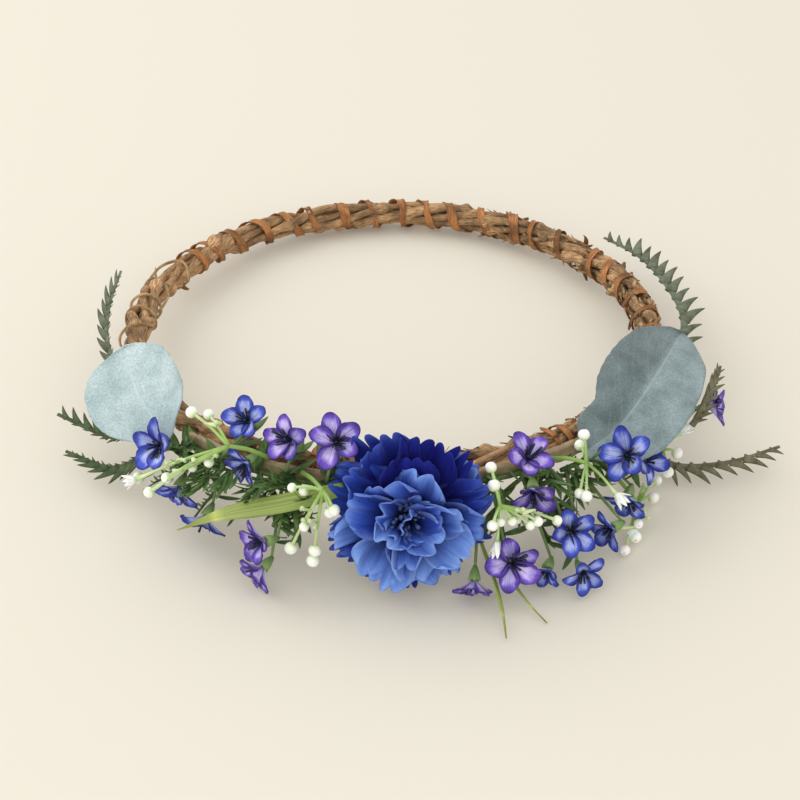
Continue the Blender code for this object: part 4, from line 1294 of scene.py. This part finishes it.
for number, ring in enumerate(BLOOM_RINGS):
    node, count, foot, reach, wide, rise, bend, fingers, notch, ruffle, bright, painted_light_below = ring
    rng = random.Random(40 + number)
    grids, tints = bloom_grids.setdefault(node, ([], []))
    for petal in range(count):
        turn = math.tau * (petal + 0.5 * (number % 2)) / count + rng.uniform(-0.12, 0.12)
        upward = math.cos(turn)
        stretch = 1 - 0.07 * (1 - upward) if node == "bloom_petals_outer" else rng.uniform(0.93, 1.05)
        lobes = fingers if rng.random() < 0.75 else max(1, fingers - 1)
        design = {
            "long": reach * MM * stretch * rng.uniform(0.95, 1.03),
            "wide": wide * MM * rng.uniform(0.9, 1.12), "neck": 0.24, "full": 0.8, "narrow": 0.2,
            "tip": 0.16, "rise": rise + rng.uniform(-0.2, 0.32), "bend": bend + rng.uniform(-0.4, 0.3),
            "curl": rng.uniform(-1.0, 0.8), "cup": rng.uniform(-0.1, 0.6), "lobes": lobes,
            "notch": notch * rng.uniform(0.8, 1.25), "ruffle": ruffle * MM * rng.uniform(0.7, 1.3),
            "pleat": 0.9 * MM, "crease": 0.0, "twist": rng.uniform(-0.6, 0.6), "start": 1.2 * MM,
        }
        place = BLOOM_FRAME @ Matrix.Translation((0, 0, foot * MM)) @ Matrix.Rotation(-turn, 4, "Z")
        petal_rows = petal_grid(design, rng, BLOOM_ROWS, BLOOM_COLUMNS)
        grids.append([[place @ point for point in row] for row in petal_rows])
        # Each petal's tint is its ring's tone plus a random spread, plus painted light: the lower a petal
        # points, the lighter it is, and the upper petals stay dark as painted shade.
        tints.append(
            min(1.0, max(0.0, bright + painted_light_below * 0.5 * (1 - upward) + rng.uniform(-0.24, 0.24))),
        )
for node, (grids, tints) in bloom_grids.items():
    petals = sheet_mesh(node.replace("bloom", "cornflower"), grids, BLOOM_WALL, tints)
    petals.data.materials.append(BLOOM_SILK)
    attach(petals, "root")
    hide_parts(node)

rng = random.Random(77)
eye = []
for thread in range(EYE_THREADS):
    turn, spread = rng.uniform(0, math.tau), math.sqrt(rng.random())
    way = Vector((math.sin(turn) * spread, math.cos(turn) * spread, 0))
    foot = BLOOM_FRAME @ (Vector((0, 0, EYE_HEIGHT)) + way * 2.2 * MM)
    lean = (BLOOM_FRAME.to_3x3() @ (way * 0.55 + Vector((0, 0, 1)))).normalized()
    eye.append(
        (foot, lean, BLOOM_FRAME.to_3x3() @ (way + Vector((0.001, 0, 0))), (8.5 - 2.5 * spread) * MM),
    )
EYE = tip_shaded(
    "dark_eye", 0.6, (0.0, (0.008, 0.035, 0.035, 1)), (0.6, (0.01, 0.03, 0.08, 1)),
    (1.0, (0.06, 0.1, 0.3, 1)), Specular_IOR_Level=0.3,
)
tuft = set_out("cornflower_eye", setter, THREAD, eye, EYE, 0.25, 9)
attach(tuft, "root")
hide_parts("bloom_stamens")


# ---- Stems and calyxes -----------------------------------------------------------------------------
# Green polythene stems, moulded with a side branch for each blossom and a small five-lobed cup at its
# end. The main stems lie in the glue on the outside of the hoop and the branches are bent by hand.

STEM_OUT = 9.02
CALYX_LENGTH = 3.6 * MM
STEM_GREEN, STEM_TREE, stem_shader = finish("moulded_green", 0.5, Specular_IOR_Level=0.4)
stem_cloud, stem_fine, stem_tip = (
    clouds(STEM_TREE, 210.0), clouds(STEM_TREE, 1300.0, 2.0), tip_of(STEM_TREE),
)
stem_body = ramp(stem_cloud, (0.32, (0.03, 0.07, 0.018, 1)), (0.64, (0.115, 0.205, 0.05, 1)))
stem_light = blend("MIX", calc("MULTIPLY", stem_tip, 0.75), stem_body, (0.3, 0.44, 0.16, 1))
feed(stem_light, stem_shader, "Base Color")
bumped(stem_shader, calc("ADD", stem_cloud, stem_fine), 0.3, 0.15 * MM)


def stalk(work, layer, path, radius, tip_values=(0.0, 0.5), sides=8, lump=0.10, seed=0.0):
    """Adds a round stalk along a path to a bmesh. radius is a number or a function of the share along it."""
    rings = []
    normal = Vector((0.31, 0.2, 0.93)).normalized()
    for number, point in enumerate(path):
        share = number / (len(path) - 1)
        ahead = (path[min(number + 1, len(path) - 1)] - path[max(number - 1, 0)]).normalized()
        side = ahead.cross(normal).normalized()
        normal = side.cross(ahead).normalized()
        size = radius(share) if callable(radius) else radius
        size *= 1 + lump * noise.noise(point * 700 + Vector((seed, 0, 0)))
        ring = []
        for step in range(sides):
            angle = math.tau * step / sides
            vert = work.verts.new(point + (side * math.cos(angle) + normal * math.sin(angle)) * size)
            vert[layer] = tip_values[0] + (tip_values[1] - tip_values[0]) * share
            ring.append(vert)
        rings.append(ring)
    close_rings(work, rings)


def lobed_cup(work, layer, stand, profile, lobes, depth, flare, sides=20, tips=(0.0, 1.0)):
    """Adds a cup round a frame's Z through (height, radius) pairs, with lobes that deepen to its rim."""
    rings = []
    for number, (height, radius) in enumerate(profile):
        share = number / (len(profile) - 1)
        ring = []
        for step in range(sides):
            angle = math.tau * step / sides
            lobe = math.cos(lobes * angle)
            reach = radius * (1 + depth * share * lobe)
            vert = work.verts.new(
                (
                    stand
                    @ Vector(
                        (
                            reach * math.cos(angle), reach * math.sin(angle),
                            height + flare * share ** 3 * max(0.0, lobe),
                        ),
                    )
                ),
            )
            vert[layer] = tips[0] + (tips[1] - tips[0]) * share
            ring.append(vert)
        rings.append(ring)
    close_rings(work, rings)


def hoop_place(point):
    """How far a point lies along the hoop, out from its line and up from its plane, in mm."""
    local = HOOP_FRAME.inverted() @ (point - HOOP_CENTRE)
    angle = math.atan2(local.x, -local.y)
    return HOOP_RADIUS * angle / MM, (math.hypot(local.x, local.y) - HOOP_RADIUS) / MM, local.z / MM


def branch(root_along, up, end, sag=0.0):
    """A path from a main stem to a point, which swings out first to pass clear of the hoop."""
    along, end_out, end_up = hoop_place(end)
    knee_out = max((STEM_OUT + end_out) / 2, STEM_OUT + 2.5)
    knee = on_hoop((root_along + along) / 2, knee_out, (up + end_up) / 2 - sag)
    return smooth_path([on_hoop(root_along, STEM_OUT, up), knee, end], per_span=7)


def moulding(name, node, material, fill):
    """A piece on the crown whose mesh is made by a function that fills a bmesh."""
    work = bmesh.new()
    layer = work.verts.layers.float.new("tip")
    fill(work, layer)
    bmesh.ops.recalc_face_normals(work, faces=work.faces)
    piece = placed(name, meshed(name, work))
    piece.data.materials.append(material)
    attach(piece, "root")
    if node:
        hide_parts(node)


# Each stem: where its main part starts and ends along the hoop, how high it lies, and its blossoms.
FLOWER_STEMS = {
    "flower_stem_far_left": ((-69, -53), -1, "flower_left", (1, 2, 3, 5)),
    "flower_stem_left": ((-44, -18), -1, "flower_left", (4, 6, 7, 8, 9)),
    "flower_stem_right": ((24, 50), -1, "flower_right", (1, 2, 3, 8, 9, 10)),
    "flower_stem_far_right": ((54, 94), -5, "flower_right", (4, 5, 6, 7, 11, 12)),
}
CALYX_PROFILE = ((-4.2, 0.6), (-3.4, 0.95), (-2.2, 1.45), (-1.0, 1.75), (-0.1, 1.9), (0.35, 1.7))


def branch_radius(share):
    return (0.62 - 0.12 * share + 0.35 * (1 - share) ** 8) * MM


for node, ((first, last), up, side, numbers) in FLOWER_STEMS.items():

    def fill_stem(work, layer):
        main = smooth_path(
            [on_hoop(first + (last - first) * step / 4, STEM_OUT, up) for step in range(5)], 6,
        )
        stalk(work, layer, main, 0.85 * MM, (0.0, 0.1))
        for number in numbers:
            base, axis, out, _, _ = flower_stance(f"{side}_{number}")
            foot = base - axis * (CALYX_LENGTH * 0.9 + 0.35 * MM)
            root_along = min(max(hoop_place(base)[0], first + 2), last - 2)
            sag = {("flower_right", 4): 4.0, ("flower_right", 12): 8.0}.get((side, number), 0.0)
            path = branch(root_along, up, foot, sag)
            stalk(work, layer, path, branch_radius, (0.1, 0.6), seed=3.0 * number)
            stand = flower_frame(base, axis, out)
            cup = [(height * MM, radius * MM) for height, radius in CALYX_PROFILE]
            lobed_cup(work, layer, stand, cup, 5, 0.16, 0.9 * MM, tips=(0.2, 1.0))

    moulding(node.replace("flower_stem", "green_stem"), node, STEM_GREEN, fill_stem)


def fill_bloom_calyx(work, layer):
    profile = ((-1.5, 2.0), (0, 3.0), (1.4, 4.6), (2.8, 5.3), (4.2, 5.0), (5.2, 4.4), (5.6, 3.6))
    lobed_cup(
        work, layer, BLOOM_FRAME, [(h * MM, r * MM) for h, r in profile], 12, 0.1, 0.8 * MM, 48,
        (0.0, 0.6),
    )
    for row, (foot, turn) in enumerate(((0.4, 0.0), (1.8, 0.26), (3.1, 0.0))):
        for scale in range(12):
            way = math.tau * scale / 12 + turn
            out = Vector((math.cos(way), math.sin(way), 0))
            bow = ((0, 3.2 + 0.6 * row), (1.0, 4.2 + 0.6 * row), (2.1, 4.6 + 0.5 * row))
            path = [BLOOM_FRAME @ (out * reach * MM + Vector((0, 0, (foot + height) * MM)))
                    for height, reach in bow]
            stalk(work, layer, smooth_path(path, 3), lambda share: (0.75 - 0.6 * share) * MM, (0.0, 0.5), 6)


moulding("cornflower_calyx", "bloom_calyx", STEM_GREEN, fill_bloom_calyx)


# ---- Berry sprigs ----------------------------------------------------------------------------------
# Pale green moulded sprigs that end in round white berries and a few tiny white star flowers. The
# berries are glossy polythene with a green tinge at the stalk and a dimple at the tip.

SPRIG_GREEN, SPRIG_TREE, sprig_shader = finish(
    "pale_sprig", 0.45, Specular_IOR_Level=0.4, Subsurface_Weight=0.1,
)
sprig_cloud = clouds(SPRIG_TREE, 170.0)
sprig_body = ramp(
    tip_of(SPRIG_TREE), (0.0, (0.13, 0.27, 0.045, 1)), (0.55, (0.31, 0.48, 0.12, 1)),
    (1.0, (0.62, 0.74, 0.4, 1)),
)
feed(
    blend(
        "MULTIPLY", 0.7, sprig_body,
        ramp(sprig_cloud, (0.35, (0.7, 0.75, 0.65, 1)), (0.65, (1.2, 1.15, 1.2, 1))),
    ),
    sprig_shader, "Base Color",
)
bumped(sprig_shader, sprig_cloud, 0.3, 0.2 * MM)

BERRY_WHITE, BERRY_TREE, berry_shader = finish(
    "white_berry", 0.22, Specular_IOR_Level=0.55, Subsurface_Weight=0.25, Subsurface_Scale=0.002,
)
berry_cloud = clouds(BERRY_TREE, 420.0, 2.0)
berry_mix = calc("MULTIPLY_ADD", berry_cloud, 0.35, calc("SUBTRACT", tip_of(BERRY_TREE), 0.17))
feed(
    ramp(
        berry_mix, (0.05, (0.42, 0.6, 0.24, 1)), (0.3, (0.8, 0.86, 0.68, 1)),
        (0.55, (0.93, 0.94, 0.88, 1)), (0.96, (0.95, 0.95, 0.92, 1)), (1.0, (0.4, 0.36, 0.22, 1)),
    ),
    berry_shader, "Base Color",
)
bumped(berry_shader, berry_cloud, 0.12, 0.2 * MM)

STAR_WHITE = tip_shaded(
    "white_star", 0.5, (0.0, (0.55, 0.72, 0.32, 1)), (0.16, (0.9, 0.92, 0.84, 1)),
    (1.0, (0.95, 0.95, 0.93, 1)), Specular_IOR_Level=0.35, Subsurface_Weight=0.2, Subsurface_Scale=0.001,
)
STAR_PETAL = pattern_object("star_petal", *tapered_blade(
    6, 6,
    lambda share: 0.21 * math.sin(math.pi * min(1.0, 0.24 + share * 0.75)) + 0.01,
    lambda share: 0.07 * (1 - 0.5 * share),
    lambda share: 0.0,
    lambda share: 0.10 * share**2,
))

BERRY_RADIUS = 2.0 * MM
BERRY_STEPS = 12
STAR_PETALS = 7
STAR_REACH = 5.6 * MM

# Each sprig: its root, its fork, its berries and its star flowers, in mm on the hoop.
BERRY_SPRIGS = {
    "berry_sprig_far_left": (
        (-37, 11, 7), (-45, 21, 15), ((-60, 17, 20), (-67, 30, -9), (-57, 22, 2), (-78, 23, -13)),
        ((-73, 28, -8),),
    ),
    "berry_sprig_left": (
        (-27, 11, 4), (-18, 24, 7), ((-27, 22, 5), (-16, 25, -1), (-26, 28, -15), (-20, 29, -18)), (),
    ),
    "berry_sprig_right": (
        (30, 11, 1), (27, 27, 1), ((27, 17, 10), (24, 31, -4), (30, 29, -5), (36, 32, -5), (42, 30, -8)),
        ((26, 29, -11),),
    ),
    "berry_sprig_far_right": ((48, 11, 3), (55, 21, 4), ((51, 28, -4), (57, 16, 12)), ((59, 30, -5),)),
    "berry_sprig_right_end": (
        (88, 10, -8.5), (92, 18, -13), ((94, 23, -14), (90, 20, -19)), ((97, 21, -9),),
    ),
    "berry_sprig_right_low": (
        (70, 10, -9), (77, 20, -24), ((87, 20, -21), (83, 22, -25), (67, 29, -27), (62, 32, -29)), (),
    ),
}


def twig_radius(share):
    return (0.48 + 0.22 * (1 - share) ** 4 + 0.35 * share**10) * MM


star_places = []
for number, (node, (root, fork, berries, stars)) in enumerate(BERRY_SPRIGS.items()):
    root, fork = on_hoop(*root), on_hoop(*fork)
    rng = random.Random(500 + number)
    ends = [(on_hoop(*place), False) for place in berries] + [(on_hoop(*place), True) for place in stars]
    for place in berries:
        near = (
            on_hoop(*place) * 0.72 + fork * 0.28
            + Vector([rng.uniform(-3.5, 3.5) for _ in range(3)]) * MM
        )
        if (near - fork).length > 6 * MM:
            ends.append((near, False))

    def fill_sprig(work, layer):
        main = smooth_path([root, (root + fork) / 2 + Vector((0, 0, MM)), fork], 8)
        stalk(work, layer, main, lambda share: (0.85 - 0.15 * share) * MM, (0.0, 0.4))
        for end, _ in ends:
            path = smooth_path([fork, (fork + end) / 2 + Vector((0, 0, MM)), end], 8)
            stalk(work, layer, path, twig_radius, (0.4, 1.0), seed=number)
            if (end - fork).length > 14 * MM:
                bud = path[9]
                path = smooth_path([bud, bud + Vector((rng.uniform(-2, 2), -1.5, rng.uniform(1, 3))) * MM,
                                    bud + Vector((rng.uniform(-4, 4), -3, rng.uniform(2, 4))) * MM], 4)
                stalk(work, layer, path, lambda share: (0.4 + 0.45 * share**4) * MM, (0.6, 1.0), seed=number)

    def fill_berries(work, layer):
        for end, is_star in ends:
            away = (end - fork).normalized()
            side = away.orthogonal().normalized()
            stand = flower_frame(end - away * 0.5 * MM, away, side)
            if is_star:
                for petal in range(STAR_PETALS):
                    turn = math.tau * petal / STAR_PETALS + rng.uniform(-0.15, 0.15)
                    way = stand.to_3x3() @ Vector((math.sin(turn), math.cos(turn), 0))
                    lean = (way + away * rng.uniform(1.0, 2.2)).normalized()
                    star_places.append((end, lean, lean.cross(away.cross(way)), STAR_REACH))
                continue
            size = BERRY_RADIUS * rng.uniform(0.80, 1.08)
            profile = []
            for step in range(BERRY_STEPS + 1):
                angle = math.pi * step / BERRY_STEPS
                dimple = 0.22 * math.exp(-(((math.pi - angle) / 0.25) ** 2))
                profile.append((-math.cos(angle) * (1 - dimple) * size, max(math.sin(angle), 0.02) * size))
            lobed_cup(work, layer, stand, profile, 5, 0.015, 0.0, 18, (0.0, 1.0))

    moulding(node.replace("berry_sprig", "pale_sprig"), node, SPRIG_GREEN, fill_sprig)
    moulding(node.replace("berry_sprig", "white_berries"), None, BERRY_WHITE, fill_berries)
stars = set_out("white_stars", setter, STAR_PETAL, star_places, STAR_WHITE, 0.12, 3)
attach(stars, "root")


# ---- Foliage ---------------------------------------------------------------------------------------
# Fine dark-green foliage behind the blossoms: a stem with three narrow leaves at the left, and short
# feathery sprays pushed into the glue all along the front to hide it.

FOLIAGE_STEM = ((-70, -28), -4.2, ((-36, (-44, 22, -12)), (-52, (-60, 15, -20)), (-64, (-76, 18, -16))))
LEAFLET = pattern_object("leaflet", *tapered_blade(
    7, 6,
    lambda share: 0.10 * math.sin(math.pi * min(1.0, 0.12 + share * 0.86)) + 0.006,
    lambda share: 0.035 * (1 - 0.6 * share),
    lambda share: 0.05 * share,
    lambda share: 0.16 * share**2,
))


def fill_foliage(work, layer):
    (first, last), up, leaves = FOLIAGE_STEM
    main = smooth_path([on_hoop(first + (last - first) * step / 5, STEM_OUT, up) for step in range(6)], 5)
    stalk(work, layer, main, 0.65 * MM, (0.0, 0.1))
    for root_along, tip in leaves:
        path = branch(root_along, up, on_hoop(*tip))
        stalk(work, layer, path, lambda share: (0.5 - 0.35 * share) * MM, (0.1, 0.5))


BLOOM_REACH = 29 * MM
LEAF_GAP = 4.0 * MM
BLOSSOM_CUPS = [flower_stance(node) for node in flower_nodes]
for height in (4, 12):
    BLOSSOM_CUPS.append((BLOOM_BASE + BLOOM_AXIS * height * MM, BLOOM_AXIS, None, BLOOM_REACH, None))
BROAD_POINTS = [Vector(point) for node in ("grass_blade_front", "broad_leaf_right", "broad_leaf_left")
                for point in points_of(node)]


def stands_clear(foot, tip):
    """Whether a leaf from foot to tip stays out of the blossoms and off the broad leaves and blade."""
    for base, axis, _, reach, _ in BLOSSOM_CUPS:
        for share in (0.5, 1.0):
            place = foot.lerp(tip, share) - base
            height = place.dot(axis)
            if -1.5 * MM < height < 9 * MM and (place - axis * height).length < reach * 1.05:
                return False
    return all((tip - point).length > LEAF_GAP for point in BROAD_POINTS)


moulding("foliage_stem", "foliage_left", STEM_GREEN, fill_foliage)
rng = random.Random(9)
leaflets = []
(first, last), up, leaves = FOLIAGE_STEM
for root_along, tip in leaves:
    path = branch(root_along, up, on_hoop(*tip))
    for step in range(9):
        share = 0.25 + 0.75 * step / 8
        point, ahead = along_path(path, share)
        side = ahead.cross(HOOP_UP).normalized()
        for way in (-1, 1):
            lean = (ahead * 0.9 + side * way * 0.8 + HOOP_UP * rng.uniform(0, 0.4)).normalized()
            leaflets.append((point, lean, HOOP_UP, 6.5 * MM * (1.15 - 0.5 * share)))
for along in [*np.arange(-72, -8, 2.1), *np.arange(13, 68, 1.9)]:
    root = on_hoop(along, STEM_OUT - 0.6, rng.uniform(-6.0, 4.0) - (4.0 if along > 58 else 0.0))
    spray = hoop_way(
        (math.sin(along * MM / HOOP_RADIUS) + rng.uniform(-0.9, 0.9), -1.0, rng.uniform(-1.1, 0.7)),
    )
    for step in range(11):
        lean = (spray + Vector([rng.uniform(-0.6, 0.6) for _ in range(3)])).normalized()
        foot, long = root + spray * step * 1.35 * MM, rng.uniform(4.5, 9.5) * MM
        if stands_clear(foot, foot + lean * long):
            leaflets.append((foot, lean, HOOP_UP, long))
FOLIAGE_GREEN, FOLIAGE_TREE, foliage_shader = finish("deep_green", 0.6, Specular_IOR_Level=0.3)
foliage_body = ramp(
    clouds(FOLIAGE_TREE, 240.0), (0.34, (0.018, 0.05, 0.016, 1)), (0.62, (0.07, 0.15, 0.04, 1)),
)
foliage_pale = calc("MULTIPLY", tip_of(FOLIAGE_TREE), 0.5)
feed(blend("MIX", foliage_pale, foliage_body, (0.17, 0.27, 0.07, 1)), foliage_shader, "Base Color")
foliage = set_out("feathery_foliage", setter, LEAFLET, leaflets, FOLIAGE_GREEN, 0.25, 12)
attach(foliage, "root")

LANCE = pattern_object("lance", *tapered_blade(
    10, 6,
    lambda share: 0.135 * math.sin(math.pi * min(1.0, 0.06 + share * 0.93)) ** 0.8 + 0.008,
    lambda share: 0.022 * (1 - 0.6 * share),
    lambda share: 0.04 * share,
    lambda share: 0.20 * share**2,
))
lances = []
for (first, last), up, side, numbers in FLOWER_STEMS.values():
    for number in numbers:
        if (side, number) == ("flower_right", 12):
            continue
        base, axis, out, reach, _ = flower_stance(f"{side}_{number}")
        root_along = min(max(hoop_place(base)[0], first + 2), last - 2)
        path = branch(root_along, up, base - axis * CALYX_LENGTH)
        for share in np.linspace(0.10, 0.80, 9):
            point, ahead = along_path(path, share)
            lean = (ahead * 0.7 - axis * 0.9 + Vector([rng.uniform(-0.8, 0.8) for _ in range(3)])).normalized(
            )
            long = rng.uniform(8.5, 13.0) * MM
            if stands_clear(point, point + lean * long):
                lances.append((point, lean, HOOP_UP, long))
lance_leaves = set_out("lance_leaves", setter, LANCE, lances, FOLIAGE_GREEN, 0.2, 31)
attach(lance_leaves, "root")


# ---- Glue ------------------------------------------------------------------------------------------
# Two beds of hot-melt glue on the outer face of the hoop, pressed flat with the stems in them. Set glue
# is milky and slightly yellow, with a rounded, rippled skin.

GLUE_VOXEL = 0.45 * MM
GLUE_RIPPLE = 0.45 * MM
GLUE = clouded(
    "set_glue", 0.3, 160.0, 3.0, ((0.35, (0.22, 0.16, 0.08, 1)), (0.65, (0.4, 0.32, 0.18, 1))), 0.4,
    0.5 * MM, Specular_IOR_Level=0.5, Subsurface_Weight=0.3, Subsurface_Scale=0.003,
)
for number, node in enumerate(("glue_bed_left", "glue_bed_right")):
    work = bmesh.new()
    work.from_mesh(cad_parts[node].data)
    bmesh.ops.remove_doubles(work, verts=work.verts, dist=0.01 * MM)
    bed = placed(node.replace("glue_bed", "set_glue"), meshed(node, work))
    skin = bed.modifiers.new("skin", "REMESH")
    skin.mode = "VOXEL"
    skin.voxel_size = GLUE_VOXEL
    soften = bed.modifiers.new("soften", "SMOOTH")
    soften.iterations = 6
    mesh = made_real(bed)
    for vertex in mesh.vertices:
        vertex.co += vertex.normal * GLUE_RIPPLE * noise.noise(vertex.co * 260 + Vector((number * 5.0, 0, 0)))
    mesh.shade_smooth()
    mesh.materials.clear()
    mesh.materials.append(GLUE)
    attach(bed, "root")
    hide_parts(node)


# ---- Table, light and camera -----------------------------------------------------------------------
# The crown lies on a plain cream table top that runs back out of sight. A large soft light stands behind
# and above it and a weaker one in front, as by a window with a reflector.

TABLE_HALF, TABLE_FRONT, TABLE_BACK = 3, -3, 5
TABLE_CORNERS = ((-1, TABLE_FRONT), (1, TABLE_FRONT), (1, TABLE_BACK), (-1, TABLE_BACK))
table = bpy.data.meshes.new("table_top")
table.from_pydata([(x * TABLE_HALF, y, 0) for x, y in TABLE_CORNERS], [], [(0, 1, 2, 3)])
table_top = placed("table_top", table)
paper, _, shader = finish("cream_paper", 0.9, Specular_IOR_Level=0.1)
shader.inputs["Base Color"].default_value = (0.718, 0.686, 0.602, 1)
table.materials.append(paper)

world = bpy.data.worlds.new("studio")
bpy.context.scene.world = world
world.use_nodes = True
world.node_tree.nodes["Background"].inputs["Color"].default_value = (1.0, 0.98, 0.95, 1)
world.node_tree.nodes["Background"].inputs["Strength"].default_value = 1.0


def soft_light(name, place, size, power, colour):
    lamp = bpy.data.lights.new(name, "AREA")
    lamp.shape = "DISK"
    lamp.size = size
    lamp.energy = power
    lamp.color = colour
    holder = placed(name, lamp)
    holder.location = place
    holder.rotation_euler = (HOOP_CENTRE - Vector(place)).to_track_quat("-Z", "Y").to_euler()


soft_light("window", (-0.95, 0.45, 0.95), 1.3, 5.8, (1.0, 0.985, 0.96))
soft_light("reflector", (-0.2, -1.0, 0.75), 1.6, 3.6, (1.0, 0.97, 0.93))

CAMERA_LENS = 112.2
CAMERA_DISTANCE = 0.9
CAMERA_PITCH = math.radians(37.7)
camera = bpy.data.cameras.new("camera")
camera.sensor_width = 36.0
camera.lens = CAMERA_LENS
camera_holder = placed("camera", camera)
camera_holder.location = (
    HOOP_CENTRE
    + CAMERA_DISTANCE * Vector((0, -math.cos(CAMERA_PITCH), math.sin(CAMERA_PITCH)))
)
camera_aim = HOOP_CENTRE + Vector((2.6, -15.1, -19.8)) * MM
camera_holder.rotation_euler = (camera_aim - camera_holder.location).to_track_quat("-Z", "Y").to_euler()
bpy.context.scene.camera = camera_holder
bpy.context.scene.view_settings.view_transform = "Standard"
